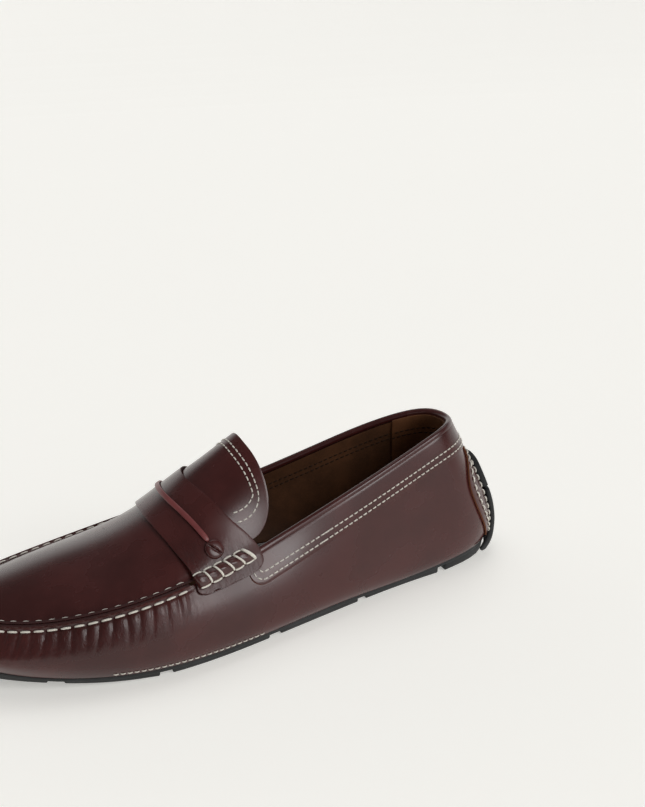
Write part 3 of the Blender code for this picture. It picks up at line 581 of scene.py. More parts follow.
def calf_leather(name, colour, roughness, coat, grain=1.0, creased=None):
    """Polished calf: a mottled dye, fine pores, and creases near a gathered seam, with painted shade darkening the
    dye along the creases.
    """
    recipe = Recipe(name, tuple(colour), roughness, coat_weight=coat, coat_roughness=0.16,
                    specular_ior_level=0.36)
    where = recipe.where("Object")
    mottle = recipe.noise(where, 38.0, 4.0, 0.55)
    cloud = recipe.noise(where, 11.0, 2.0)
    pores = recipe.noise(where, 1500.0, 2.0, 0.6)
    cells = recipe.node("TexVoronoi", None, {"Vector": where, "Scale": 2300.0})
    dye = recipe.mix(mottle.ramp(0.32, 0.68), shaded(colour, 0.78), shaded(colour, 1.2))
    dye = recipe.mix(cloud.ramp(0.35, 0.7) * 0.5, dye, shaded(colour, 1.25))
    shine = roughness + (mottle - 0.5) * 0.16
    height = pores * 0.8 + cells * 0.2
    normal = recipe.bump(height, 0.00003 * grain, 0.3)
    if creased:
        sheet = recipe.where("UV", (1.0, 0.42, 1.0))
        along = recipe.node("SeparateXYZ", None, {0: recipe.where("UV")})
        depth = recipe.node("SeparateXYZ", None, {0: recipe.where("UV")}, 1)
        if creased == "seam":
            front, back = (SEAM_ENDS[0] + 2.0) * MM, (SEAM_ENDS[1] - 2.0) * MM
            near = (depth.ramp(0.012, 0.021, 1.0, 0.0) * depth.ramp(-0.001, 0.002)
                    * along.ramp(front - 0.012, front + 0.002) * along.ramp(back - 0.002, back + 0.012, 1.0,
                                                                            0.0))
        else:
            near = depth.ramp(-0.037, -0.029, 1.0, 0.0) + depth.ramp(0.029, 0.037)
        wrinkle = recipe.noise(sheet, 620.0, 5.0, 0.62, 0.8)
        normal = recipe.bump(wrinkle * near, 0.0007, 0.5, normal)
        shine = shine + near * (wrinkle - 0.35) * 0.35
        # painted shade: near the seam or the strap's ends, the dye is darkened along the wrinkles of the creases
        dye = recipe.mix(near * wrinkle.ramp(0.35, 0.7, 0.0, 0.55), dye, shaded(colour, 0.6))
    recipe.feed({"Base Color": dye, "Roughness": shine, "Normal": normal})
    return recipe.material


def creased_leather(name, colour, roughness, coat):
    """Calf that is folded and pulled tight: broken highlights over fine creases, with a painted highlight on their
    crests and painted shade in their hollows.
    """
    recipe = Recipe(name, tuple(colour), roughness, coat_weight=coat, coat_roughness=0.2)
    where = recipe.where("Object")
    creases = recipe.noise(where, 420.0, 6.0, 0.65, 0.6)
    folds = recipe.noise(where, 150.0, 2.0, 0.5, 0.4)
    # painted highlight and shade: the dye is lighter where the crease bumps rise and darker where they sink
    dye = recipe.mix(creases.ramp(0.3, 0.7), shaded(colour, 0.7), shaded(colour, 1.25))
    normal = recipe.bump(creases * 0.5 + folds, 0.0005, 0.55)
    recipe.feed({"Base Color": dye, "Roughness": roughness + (creases - 0.5) * 0.3, "Normal": normal})
    return recipe.material


def cut_edge(name, colour):
    """The raw cut edge of leather: fibrous, matt and streaked."""
    recipe = Recipe(name, tuple(colour), 0.8)
    fibres = recipe.noise(recipe.where("Object"), 2600.0, 3.0, 0.7)
    recipe.feed({"Base Color": recipe.mix(fibres.ramp(0.3, 0.7), shaded(colour, 0.6), shaded(colour, 1.3)),
                 "Normal": recipe.bump(fibres, 0.00015, 0.5), "Roughness": 0.7 + fibres * 0.25})
    return recipe.material


def lining_leather(name, colour, roughness):
    """Unfinished lining leather: soft nap, pores and rubbed patches."""
    recipe = Recipe(name, tuple(colour), roughness, specular_ior_level=0.35)
    where = recipe.where("Object")
    rubbed = recipe.noise(where, 45.0, 4.0, 0.6)
    nap = recipe.noise(where, 1300.0, 3.0, 0.6)
    dye = recipe.mix(rubbed.ramp(0.3, 0.7), shaded(colour, 0.65), shaded(colour, 1.35))
    dye = recipe.mix(nap.ramp(0.35, 0.7) * 0.35, dye, shaded(colour, 1.7))
    recipe.feed({"Base Color": dye, "Roughness": roughness + (nap - 0.5) * 0.25,
                 "Normal": recipe.bump(nap, 0.00012, 0.5)})
    return recipe.material


def waxed_thread(name, colour, twist):
    """Cream thread: strands laid round it at a slant, with shadow between them."""
    recipe = Recipe(name, tuple(colour), 0.62, specular_ior_level=0.3)
    slant = recipe.node("Mapping", None, {"Vector": recipe.node("TexCoord", output=2),
                                          "Rotation": (0.0, 0.0, math.radians(50))})
    strands = recipe.node("TexWave", {"wave_type": "BANDS", "bands_direction": "X"},
                          {"Vector": slant, "Scale": twist, "Distortion": 0.4})
    fluff = recipe.noise(recipe.where("Object"), 2200.0, 2.0)
    dye = recipe.mix(strands.ramp(0.1, 0.6), shaded(colour, 0.82), tuple(colour))
    dye = recipe.mix(fluff.ramp(0.45, 0.75) * 0.35, dye, shaded(colour, 0.75))
    recipe.feed({"Base Color": dye, "Roughness": 0.55 + strands * 0.15,
                 "Normal": recipe.bump(strands + fluff * 0.4, 0.00012, 0.6)})
    return recipe.material


def moulded_rubber(name, colour):
    """Matt black rubber, fine-textured by its mould and dusty at the edges."""
    recipe = Recipe(name, tuple(colour), 0.58, specular_ior_level=0.4)
    where = recipe.where("Object")
    texture = recipe.noise(where, 1900.0, 2.0, 0.6)
    dust = recipe.noise(where, 70.0, 4.0, 0.6)
    dye = recipe.mix(dust.ramp(0.4, 0.75), tuple(colour), shaded(colour, 1.6))
    recipe.feed({"Base Color": dye, "Roughness": 0.5 + dust * 0.2,
                 "Normal": recipe.bump(texture, 0.00008, 0.5)})
    return recipe.material


def pressed_board(name, colour):
    """Fibre board or foam: speckled and matt."""
    recipe = Recipe(name, tuple(colour), 0.9)
    speckle = recipe.noise(recipe.where("Object"), 900.0, 3.0, 0.7)
    recipe.feed({"Base Color": recipe.mix(speckle.ramp(0.35, 0.65), shaded(colour, 0.8), shaded(colour, 1.1)),
                 "Roughness": 0.8 + speckle * 0.15, "Normal": recipe.bump(speckle, 0.0002, 0.5)})
    return recipe.material


FINISHES = {}


def finish(name):
    """The named finish, made once from the settings."""
    if name not in FINISHES:
        colours = bpy.context.scene.moccasin_colours
        shine = bpy.context.scene.moccasin_shine
        makers = {
            "gathered calf": lambda: calf_leather(name, colours.calf, shine.calf, shine.polish, 1.0, "seam"),
            "strap calf": lambda: calf_leather(name, colours.calf, shine.calf, shine.polish, 1.0, "ends"),
            "calf": lambda: calf_leather(name, colours.calf, shine.calf, shine.polish),
            "creased calf": lambda: creased_leather(name, colours.calf, shine.calf + 0.04, shine.polish),
            "rose calf": lambda: calf_leather(name, colours.keeper, shine.calf + 0.1, 0.1),
            "raw edge": lambda: cut_edge(name, colours.raw_edge),
            "dark edge": lambda: cut_edge(name, shaded(colours.calf, 0.6)),
            "lining": lambda: lining_leather(name, colours.lining, 0.62),
            "top lining": lambda: lining_leather(name, shaded(colours.lining, 1.5), 0.55),
            "sock": lambda: lining_leather(name, shaded(colours.lining, 1.2), 0.58),
            "hand thread": lambda: waxed_thread(name, colours.thread, 1100.0),
            "machine thread": lambda: waxed_thread(name, colours.thread, 1700.0),
            "lining thread": lambda: waxed_thread(name, shaded(colours.lining, 0.35), 1700.0),
            "rubber": lambda: moulded_rubber(name, colours.rubber),
            "board": lambda: pressed_board(name, colours.board),
            "foam": lambda: pressed_board(name, shaded(colours.board, 1.3)),
        }
        FINISHES[name] = makers[name]()
    return FINISHES[name]


# ---- settings ---------------------------------------------------------------------------------------
def length(name, description, default, most=0.02):
    return bpy.props.FloatProperty(name=name, description=description, default=default, min=0.0, max=most,
                                   precision=5, unit="LENGTH")


def colour(name, description, default):
    return bpy.props.FloatVectorProperty(name=name, description=description, default=(*default, 1.0), size=4,
                                         min=0.0, max=1.0, subtype="COLOR")


class MoccasinColours(bpy.types.PropertyGroup):
    calf: colour("Calf", "Dye of the upper, apron, strap and tongue", (0.058, 0.0128, 0.0118))
    keeper: colour("Keeper strip", "Dye of the narrow strip over the strap", (0.19, 0.045, 0.045))
    raw_edge: colour("Raw edge", "Cut edges of the leather pieces", (0.20, 0.065, 0.025))
    lining: colour("Lining", "Leather inside the shoe", (0.10, 0.041, 0.017))
    thread: colour("Thread", "Hand and machine stitches", (0.93, 0.89, 0.80))
    rubber: colour("Rubber", "Outsole blocks and heel pads", (0.020, 0.021, 0.022))
    board: colour("Board", "Counter board and footbed foam", (0.42, 0.32, 0.20))


class MoccasinShine(bpy.types.PropertyGroup):
    calf: bpy.props.FloatProperty(name="Calf roughness", description="How dull the calf is", default=0.27,
                                  min=0.05, max=1.0, subtype="FACTOR")
    polish: bpy.props.FloatProperty(name="Polish", description="How much wax lies on the calf", default=0.18,
                                    min=0.0, max=1.0, subtype="FACTOR")


class MoccasinStitching(bpy.types.PropertyGroup):
    hand_pitch: length("Hand pitch", "One hand stitch to the next along the toe seam", 0.0059)
    hand_length: length("Hand stitch", "Length of a hand stitch that shows", 0.0046)
    hand_thread: length("Hand thread", "Radius of the toe seam's outer thread", 0.00052)
    machine_pitch: length("Machine pitch", "One machine stitch to the next", 0.003)
    machine_length: length("Machine stitch", "Length of a machine stitch that shows", 0.0023)
    machine_thread: length("Machine thread", "Radius of the machine thread", 0.00035)
    gather_height: length("Gather height", "Depth of the gathers under the toe seam", 0.0010)
    gather_reach: length("Gather reach", "How far the gathers run down the wall", 0.0105)


class MoccasinSole(bpy.types.PropertyGroup):
    corner: length("Block corner", "Rounding of the sole blocks", 0.0008)
    pad_corner: length("Pad corner", "Rounding of the heel pads", 0.0011)


class MoccasinStudio(bpy.types.PropertyGroup):
    floor: colour("Floor", "Paper that the shoe stands on", (0.83, 0.82, 0.785))
    glow: bpy.props.FloatProperty(name="Floor glow", description="Light that the paper itself gives",
                                  default=0.47, min=0.0, max=2.0)
    room: bpy.props.FloatProperty(name="Room light", description="Even light from the dark side of the room",
                                  default=0.12, min=0.0, max=5.0)
    wall: bpy.props.FloatProperty(name="Wall light", description="Light of the bright wall behind the shoe",
                                  default=0.85, min=0.0, max=5.0)
    overhead: bpy.props.FloatProperty(name="Overhead", description="Strength of the soft light above",
                                      default=0.50, min=0.0, max=20.0)
    top: bpy.props.FloatProperty(name="Top", description="Strength of the soft light over the far side",
                                 default=0.30, min=0.0, max=20.0)
    side: bpy.props.FloatProperty(name="Side", description="Strength of the wide low light before the quarter",
                                  default=0.45, min=0.0, max=20.0)
    key: bpy.props.FloatProperty(name="Key", description="Strength of the soft light in front, on the heel's side",
                                 default=0.95, min=0.0, max=20.0)


# ---- pieces -----------------------------------------------------------------------------------------
class MOCCASIN_OT_upper(bpy.types.Operator):
    """The wall of the shoe in one sheet of calf, gathered under the toe seam and closed under the foot"""
    bl_idname = "moccasin.upper"
    bl_label = "Upper"

    def execute(self, context):
        stitching = context.scene.moccasin_stitching
        us = round_columns(0.85, 2.6)
        behind = np.clip((side_u(ROLL_X[1], -1) - us) / 4, 0, 1)
        behind += np.clip((us - side_u(ROLL_X[1], 1)) / 4, 0, 1)
        sunk = RIM * behind
        way = seam_frame(us)[1]
        ridge = (RIDGE * ridge_share(us))[:, None]
        top = wall(us, v_below(us, sunk))
        rows = [top + way * ridge, top + way * ridge * 0.55]
        surface = [spot(us, -ridge[:, 0] - 0.3), spot(us, -ridge[:, 0] * 0.5 - 0.1)]
        depths = np.concatenate([np.linspace(0.35, 3.0, 6), np.linspace(3.8, 16.0, 15)])
        for depth in depths:
            deep = sunk + depth
            out = gathers(us, np.full_like(us, depth), stitching.hand_pitch / MM,
                          stitching.gather_height / MM, stitching.gather_reach / MM)
            rows.append(skin(us, deep, out))
            surface.append(spot(us, deep))
        v_last = v_below(us, sunk + depths[-1])
        for share in np.linspace(0, 1, 13)[1:]:
            v = v_last * (1 - share)
            rows.append(wall(us, v))
            surface.append(spot(us, depths[-1] + share * 30))
        for share in (0.03, 0.10, 0.25, 0.5, 0.75, 1.0):
            rows.append(under_foot(us, share))
            surface.append(spot(us, 46 + share * 40))
        rows = np.array(rows)
        bm = new_mesh()
        facing = np.broadcast_to(outward(us), rows.shape)
        drape(bm, rows, np.array(surface), facing)
        piece("upper_leather", bm, finish("gathered calf"), ["upper"], thick=LEATHER,
              rim=0.3, raw=finish("dark edge"))
        return {"FINISHED"}


class MOCCASIN_OT_apron(bpy.types.Operator):
    """The apron over the toes, its edge stood up inside the toe seam"""
    bl_idname = "moccasin.apron"
    bl_label = "Apron"

    def execute(self, context):
        pitch = context.scene.moccasin_stitching.hand_pitch / MM
        rear = side_u(-7.0, -1)
        half = np.linspace(rear, TOE, int((TOE - rear) / 0.95))
        us = np.concatenate([half, partner_u(half[:-1])[::-1]])
        point, way, across = seam_frame(us)
        stand = ridge_share(us)[:, None]
        foot = point - across * SEAM_INSET - way * 0.2
        rows = [foot + way * (0.6 + RIDGE * stand), foot + way * (0.3 + 0.6 * stand), foot]
        surface = [spot(us, -2.0), spot(us, -1.0), spot(us, 0.0)]
        one = RING(us)[:, 3:6] - outward(us) * SEAM_INSET
        two = RING(partner_u(us))[:, 3:6] - outward(partner_u(us)) * SEAM_INSET
        middle_x = (one[:, 0] + two[:, 0]) / 2
        bow = 15.0 * np.clip((middle_x + 60.0) / 53.0, 0.0, 1.0) ** 2
        middle_x = np.maximum(middle_x - bow, -114.0)
        middle_y = (one[:, 1] + two[:, 1]) / 2
        dimple = 0.22 * np.cos(2 * np.pi * seam_marks(us, pitch)) * ridge_share(us)
        for share in (0.025, 0.05, 0.085, 0.13, 0.19, 0.26, 0.34, 0.43, 0.53, 0.64, 0.76, 0.88, 1.0):
            reach = np.where(bow > 0, share * (2 - share), share)
            x = one[:, 0] + (middle_x - one[:, 0]) * reach
            y = one[:, 1] + (middle_y - one[:, 1]) * share
            p = on_crown(x, y)
            p[:, 2] -= dimple * math.exp(-share / 0.06)
            rows.append(p)
            surface.append(spot(us, share * 30))
        bm = new_mesh()
        rows = np.array(rows)
        drape(bm, rows, np.array(surface), np.broadcast_to(UP, rows.shape) - across * 0.1)
        piece("apron_leather", bm, finish("calf"), ["apron"], thick=LEATHER, rim=0.3,
              raw=finish("dark edge"))
        return {"FINISHED"}


class MOCCASIN_OT_toe_seam(bpy.types.Operator):
    """The two rows of hand stitches that join the upper to the apron"""
    bl_idname = "moccasin.toe_seam"
    bl_label = "Toe seam"

    def execute(self, context):
        s = context.scene.moccasin_stitching
        pitch, size, radius = s.hand_pitch / MM, s.hand_length / MM, s.hand_thread / MM
        marks = seam_marks(SEAM_U, pitch)
        bm = new_mesh()
        stitches(bm, skin(SEAM_U, 1.5, -0.25), wall_normal(SEAM_U, 0.97), pitch, size, radius, marks, 0.9)
        piece("toe_seam_outer_stitches", bm, finish("hand thread"), ["seam_thread_outer"],
              closed=True)
        point, way, across = seam_frame(SEAM_U)
        bm = new_mesh()
        path = point - across * (SEAM_INSET + 0.1) + way * 0.75
        stitches(bm, path, -across + way * 0.4, pitch, size * 0.9, radius * 0.78, marks, 0.8)
        piece("toe_seam_inner_stitches", bm, finish("hand thread"), ["seam_thread_inner"],
              closed=True)
        return {"FINISHED"}


class MOCCASIN_OT_saddle(bpy.types.Operator):
    """The strap over the instep, from one rounded flap to the other"""
    bl_idname = "moccasin.saddle"
    bl_label = "Saddle strap"

    def execute(self, context):
        start, length = ROLL_X[0] + 0.5, ROLL_X[1] + 4.5 - ROLL_X[0]
        lines = []
        for along in np.linspace(0, 1, 19):
            parts = []
            for side in (-1, 1):
                flap = []
                for depth, cut in SADDLE_FLAP:
                    share = cut + (1 - 2 * cut) * along
                    deep = depth * (0.74 + 0.26 * share)
                    flap.append(skin(side_u(start + (length + 0.5) * share, side), deep))
                point, way = seam_frame(side_u(start + length * along, side))[:2]
                flap.append(point + way * 0.6)
                parts.append(flap)
            y = TONGUE_MIDDLE + (33.0 + 8.0 * (1 - along)) * np.linspace(-0.86, 0.86, 9)
            x = strap_x(SADDLE_FRONT, y) * (1 - along) + strap_x(SADDLE_REAR, y) * along
            line = np.array([*parts[0], *on_crown(x, y), *parts[1][::-1]])
            run = run_length(line)
            curve = Spline(run, line)
            lines.append(curve(np.linspace(0, run[-1], 101)))
        points = np.array(lines)
        normals = grid_normals(points)
        normals *= np.sign(normals[len(lines) // 2, 50, 2])
        bm = new_mesh()
        drape(bm, points + normals * STRAP_TOP, points[..., :2], normals)
        piece("saddle_strap", bm, finish("strap calf"), ["saddle"],
              thick=STRAP_THICK, rim=0.25, raw=finish("dark edge"))
        return {"FINISHED"}


class MOCCASIN_OT_keeper(bpy.types.Operator):
    """The narrow strip over the strap and the two split rounds that hold its ends"""
    bl_idname = "moccasin.keeper"
    bl_label = "Keeper strip and rounds"

    def execute(self, context):
        y = np.linspace(DISC_Y[0] + 2.0, DISC_Y[1] - 2.0, 70)
        path = on_crown(strap_x(KEEPER, y), y)
        normal = crown_normal(path[:, 0], path[:, 1])
        side = unit(np.cross(np.gradient(path, axis=0), normal))
        turn = np.linspace(0, 2 * np.pi, 17)
        wide = 1.25 * np.sign(np.cos(turn)) * np.abs(np.cos(turn)) ** 0.45
        high = 0.5 * np.sign(np.sin(turn)) * np.abs(np.sin(turn)) ** 0.7
        level = np.mean(KEEPER_LEVELS) + 0.12
        ends = 1 - np.abs(np.linspace(-1, 1, len(y))) ** 60
        points = path[:, None] + normal[:, None] * level + ends[:, None, None] * (
            side[:, None] * wide[None, :, None] + normal[:, None] * high[None, :, None])
        bm = new_mesh()
        drape(bm, points, spot(run_length(path)[:, None], turn[None, :]))
        piece("keeper_strip_leather", bm, finish("rose calf"), ["keeper_strip"],
              closed=True)
        for y, word in ((DISC_Y[0], "lateral"), (DISC_Y[1], "medial")):
            self.make_round(y, word)
        return {"FINISHED"}

    def make_round(self, y, word):
        x = strap_x(KEEPER, y)
        normal = crown_normal(np.array(x), np.array(y))
        centre = on_crown(np.array(x), np.array(float(y)))
        across = unit(np.cross((2 * KEEPER[1] * y, 1.0, 0.0), normal))
        along = np.cross(normal, across)
        angle = np.linspace(0, 2 * np.pi, 65)
        radii = np.array([0.0, 0.6, 1.2, 1.8, 2.4, 3.0, 3.5, 3.9, 4.2, 4.4, 4.5, 4.5, 4.4, 3.0, 0.0])
        heights = np.array([4.15, 4.15, 4.13, 4.1, 4.05, 3.98, 3.88, 3.74, 3.52, 3.2, 2.8, 2.3, 1.98, 1.95,
                            1.95])
        flat = radii[:, None, None] * np.stack([np.cos(angle), np.sin(angle)], axis=-1)
        slot = smooth(0.12, 0.75, np.abs(flat[..., 1]))
        top = np.arange(len(radii)) < 10
        level = np.where(top[:, None], 2.75 + (heights[:, None] - 2.75) * slot, heights[:, None])
        points = centre + along * flat[..., :1] + across * flat[..., 1:] + normal * level[..., None]
        bm = new_mesh()
        drape(bm, points, flat)
        piece(f"keeper_round_{word}", bm, finish("calf"), [f"keeper_disc_{word}"],
              closed=True)


def roll_frame(mark, turn, side):
    """The seam's frame under a point of the roll: mark counts the lumps, turn goes over it from foot to foot."""
    inner = ROLL_INNER[0] + (ROLL_INNER[1] - ROLL_INNER[0]) * mark / 5
    outer = ROLL_OUTER[0] + (ROLL_OUTER[1] - ROLL_OUTER[0]) * mark / 5
    return seam_frame(side_u(inner + (outer - inner) * (1 + np.cos(turn)) / 2, side))


def roll_point(mark, turn, side, size, out=0.0):
    """A point of the roll's skin."""
    mark, turn, size = np.broadcast_arrays(np.asarray(mark, float), turn, size)
    point, way, across = roll_frame(mark, turn, side)
    wide = np.cos(turn) * (ROLL_HALF_WIDTH * size + out) + 0.2
    high = np.maximum(np.sin(turn), 0.0) ** 0.8 * (ROLL_HEIGHT * size + out) + ROLL_BASE
    return point + across * wide[..., None] + way * high[..., None]


class MOCCASIN_OT_rolls(bpy.types.Operator):
    """The rolled ends of the strap, whipped down in five lumps by thick thread"""
    bl_idname = "moccasin.rolls"
    bl_label = "Strap rolls"

    def execute(self, context):
        for side, word in ((-1, "lateral"), (1, "medial")):
            marks = np.linspace(0, 5, 91)[:, None]
            turn = np.linspace(0, np.pi, 25)
            lump = 0.80 + 0.20 * np.abs(np.sin(np.pi * marks)) ** 0.6
            ends = np.sqrt(np.clip(1 - np.abs(marks / 2.5 - 1) ** 30, 0, 1))
            crease = 0.03 * np.sin(turn * 7 + marks * 1.3) * np.abs(np.sin(np.pi * marks))
            body = roll_point(marks, turn, side, lump * (0.35 + 0.65 * ends) * (1 + crease))
            under = UP * 0.3
            points = np.concatenate([body, body[:, -1:] - under, body[:, :1] - under, body[:, :1]], axis=1)
            points[0] = points[0].mean(axis=0)
            points[-1] = points[-1].mean(axis=0)
            bm = new_mesh()
            drape(bm, points)
            piece(f"strap_roll_{word}", bm, finish("creased calf"), [f"beef_roll_{word}"],
                  closed=True)
            self.whip(side, word)
        return {"FINISHED"}

    def whip(self, side, word):
        """A rung over the roll behind each lump, and a stitch along each foot of the lump."""
        bm = new_mesh()
        turn = np.linspace(np.pi, 0.0, 17)
        for k in range(1, 6):
            centre = roll_point(k - (0.06 if k == 5 else 0.0), turn, side, 0.80 if k < 5 else 0.9, 0.45)
            point, way, across = roll_frame(float(k), turn, side)
            normal = unit(centre - point - way * (ROLL_BASE - 1.5))
            tube(bm, centre, normal, 0.52 if k < 5 else 0.78, 8)
        for foot in (0.0, np.pi):
            for k in range(5):
                share = np.linspace(0.05, 0.95, 9)
                bow = np.sin(np.pi * share)
                centre = roll_point(k + share, foot + 0.12 * (1 if foot == 0 else -1), side,
                                    0.90 + 0.1 * bow, 0.25)
                point, way, across = roll_frame(k + share, foot, side)
                tube(bm, centre, unit(across * math.cos(foot) + way), 0.5, 8)
        piece(f"strap_roll_stitches_{word}", bm, finish("hand thread"), [f"roll_thread_{word}"],
              closed=True)


def tongue_points(front, rows, columns, inset=0.0):
    """Rows of points from the strap's rear edge back to the tongue's rounded edge."""
    outline = np.array([(x, y + TONGUE_MIDDLE) for y, x in TONGUE_OUTLINE])
    run = run_length(outline)
    curve = Spline(run, outline)

    def rim_at(t):
        along = unit(curve(t + 0.1) - curve(t - 0.1))
        rim = curve(t) + np.stack([-along[:, 1], along[:, 0]], axis=-1) * inset
        return rim, strap_x(SADDLE_REAR, rim[:, 1]) + front + 0.06 * np.abs(rim[:, 1] - TONGUE_MIDDLE)

    t = np.linspace(0.2, run[-1] - 0.2, 500)
    rim, start = rim_at(t)
    clear = t[rim[:, 0] > start + 0.6]
    rim, start = rim_at(np.linspace(clear[0], clear[-1], columns))
    x = start + (rim[:, 0] - start) * np.linspace(0, 1, rows)[:, None]
    return on_crown(x, np.broadcast_to(rim[:, 1], x.shape))


class MOCCASIN_OT_tongue(bpy.types.Operator):
    """The raised tongue, its lining and the two rows of fine stitches round its edge"""
    bl_idname = "moccasin.tongue"
    bl_label = "Tongue"

    def execute(self, context):
        s = context.scene.moccasin_stitching
        points = tongue_points(-2.2, 26, 61)
        bm = new_mesh()
        drape(bm, points, points[..., :2], np.broadcast_to(UP, points.shape))
        outer = piece("tongue_leather", bm, finish("calf"), ["tongue"], None, LEATHER,
                      0.25, finish("raw edge"))
        points = tongue_points(-1.2, 20, 49, 0.5)
        points = points - grid_up(points) * (LEATHER + GAP)
        bm = new_mesh()
        drape(bm, points, points[..., :2], np.broadcast_to(UP, points.shape))
        inner = piece("tongue_lining_leather", bm, finish("lining"), ["tongue_lining"], None,
                      0.8, 0.2)
        made = [outer, inner]
        for inset, word in ((4.6, "outer"), (7.2, "inner")):
            path = tongue_points(-0.5, 2, 121, inset)[-1]
            bm = new_mesh()
            stitches(bm, path, crown_normal(path[:, 0], path[:, 1]), s.machine_pitch / MM,
                     s.machine_length / MM, s.machine_thread / MM, lift=0.7, sides=5)
            made.append(piece(f"tongue_stitches_{word}", bm, finish("machine thread"),
                              [f"tongue_thread_{word}"], None, closed=True))
        for obj in made:
            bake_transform(obj)
        return {"FINISHED"}


def grid_up(points):
    return crown_normal(points[..., 0], points[..., 1])


def band_edge(f, depth, radius):
    """Depth of a line along the band, turned up in a round corner a distance f from the band's front."""
    f = np.clip(f, 0, radius)
    return depth - radius + np.sqrt(np.maximum(radius ** 2 - (radius - f) ** 2, 0))


class MOCCASIN_OT_collar(bpy.types.Operator):
    """The rolled binding on the topline, the band under it and the band's two rows of stitches"""
    bl_idname = "moccasin.collar"
    bl_label = "Collar"

    def execute(self, context):
        s = context.scene.moccasin_stitching
        start, stop = top_range(ROLL_X[1] + 4.5)
        us = np.linspace(start, stop, 260)
        section = np.array([(0.75, BINDING_LEG + 0.4), (1.15, BINDING_LEG), (1.35, 2.2), (1.35, 1.2),
                            (1.1, 0.5),
                            (0.5, 0.08), (-0.3, -0.18), (-1.1, -0.12), (-1.8, 0.2), (-2.2, 0.8), (-2.3, 1.6),
                            (-2.25, BINDING_LEG), (-1.55, BINDING_LEG), (-1.5, 1.3), (-0.5, 1.15), (GAP, 1.3),
                            (GAP, BINDING_LEG), (0.75, BINDING_LEG + 0.4)])
        rows = [skin(us, d, np.full_like(us, t)) + UP * max(-d, 0.0) for t, d in section]
        bm = new_mesh()
        drape(bm, np.array(rows), np.array([spot(us, d) for t, d in section]))
        piece("collar_binding", bm, finish("calf"), ["topline_binding"], closed=True)
        start, stop = top_range(ROLL_X[1] - 3.5)
        f = np.concatenate([np.linspace(0, BAND_CORNER, 14)[:-1], np.linspace(BAND_CORNER, 40, 12)[:-1]])
        us = np.concatenate([start + f, np.linspace(start + 40, stop - 40, 110), (stop - f)[::-1]])
        front = np.minimum(us - start, stop - us)
        low = band_edge(front, BAND_DEPTH, BAND_CORNER)
        rows, surface = [], []
        for share in np.linspace(0, 1, 10):
            depth = BINDING_LEG - 0.3 + (low - BINDING_LEG + 0.3) * share
            out = (GAP + 0.9 + 0.10 * np.sin(np.pi * share)) * (0.45 + 0.55 * smooth(1.0, 10.0, front))
            rows.append(skin(us, depth, out))
            surface.append(spot(us, depth))
        rows = np.array(rows)
        bm = new_mesh()
        drape(bm, rows, np.array(surface), np.broadcast_to(outward(us), rows.shape))
        piece("collar_band_leather", bm, finish("calf"), ["collar_band"], thick=0.9,
              rim=0.25, raw=finish("raw edge"))
        for depth, word in ((11.2, "upper"), (14.4, "lower")):
            inset = BAND_DEPTH - depth
            corner = max(BAND_CORNER - inset, 2.0)
            f = np.concatenate([corner * (1 - np.cos(np.linspace(0, np.pi / 2, 16)))[:-1],
                                np.linspace(corner, 40, 40)[:-1]]) + inset
            us = np.concatenate([start + f, np.linspace(start + 40, stop - 40, 160), (stop - f)[::-1]])
            front = np.minimum(us - start, stop - us) - inset
            level = (GAP + 1.0) * (0.45 + 0.55 * smooth(1.0, 10.0, np.minimum(us - start, stop - us)))
            path = skin(us, band_edge(front, depth, corner), level)
            bm = new_mesh()
            stitches(bm, path, wall_normal(us, 0.8), s.machine_pitch / MM, s.machine_length / MM,
                     s.machine_thread / MM, lift=0.7, sides=5)
            piece(f"band_stitches_{word}", bm, finish("machine thread"), [f"band_thread_{word}"],
                  closed=True)
        return {"FINISHED"}


class MOCCASIN_OT_heel(bpy.types.Operator):
    """The leather tab on the back of the heel, its thick stitches and the two rubber pads"""
    bl_idname = "moccasin.heel"
    bl_label = "Heel tab and pads"

    def execute(self, context):
        s = context.scene.moccasin_stitching
        vs = np.concatenate([np.linspace(0.765, 0.70, 12), np.linspace(0.68, 0.04, 26)])
        half = TAB_SIDE(vs)[:, 0]
        half[0] = 0.4
        us = TAB_CENTRE + half[:, None] * np.linspace(-1, 1, 41)
        v = np.broadcast_to(vs[:, None], us.shape)
        bm = new_mesh()
        normals = wall_normal(us, v)
        drape(bm, wall(us, v) + normals * 1.15, spot(us + 60, v * 70), normals)
        piece("heel_tab_leather", bm, finish("calf"), ["heel_tab"], thick=0.95,
              rim=0.3, raw=finish("raw edge"))
        rows = (("heel_tab", ["heel_tab_thread"], 0.71, lambda at: TAB_SIDE(at)[..., 0] - 3.2),
                ("heel_pad", ["heel_guard_thread"], 0.665, lambda at: GUARD_SIDE(at)[..., 0]))
        for word, nodes, v_top, half_width in rows:
            low = np.linspace(0.05, v_top, 40)
            turn = np.linspace(1, -1, 12)[1:-1]
            offset = np.concatenate([-half_width(low), -half_width(v_top) * turn, half_width(low)[::-1]])
            height = np.concatenate([low, v_top + 0.018 * (1 - turn ** 2), low[::-1]])
            normals = wall_normal(TAB_CENTRE + offset, height)
            path = wall(TAB_CENTRE + offset, height) + normals * 1.2
            bm = new_mesh()
            stitches(bm, path, normals, 4.4, 3.5, s.hand_thread / MM, lift=0.9)
            piece(f"{word}_stitches", bm, finish("hand thread"), nodes, closed=True)
        lower = Spline(*zip(*((-0.09, 24.0), (-0.02, 19.0), (0.05, 14.0), (0.13, 12.0), *GUARD_LOWER[2:])))
        upper = Spline(*zip(*GUARD_UPPER))
        for word, side, low, high in (("upper", upper, 0.44, 0.648), ("lower", lower, -0.07, 0.413)):
            v = np.linspace(low, high, 22)
            us = TAB_CENTRE + side(v) * np.linspace(-1, 1, 21)
            v = np.broadcast_to(v[:, None], us.shape)
            normals = wall_normal(us, v)
            bm = new_mesh()
            drape(bm, wall(us, v) + normals * GUARD_OUT, None, normals)
            piece(f"heel_pad_{word}", bm, finish("rubber"), [f"heel_guard_{word}"],
                  thick=GUARD_OUT - GAP - 1.2, rim=context.scene.moccasin_sole.pad_corner / MM)
        return {"FINISHED"}


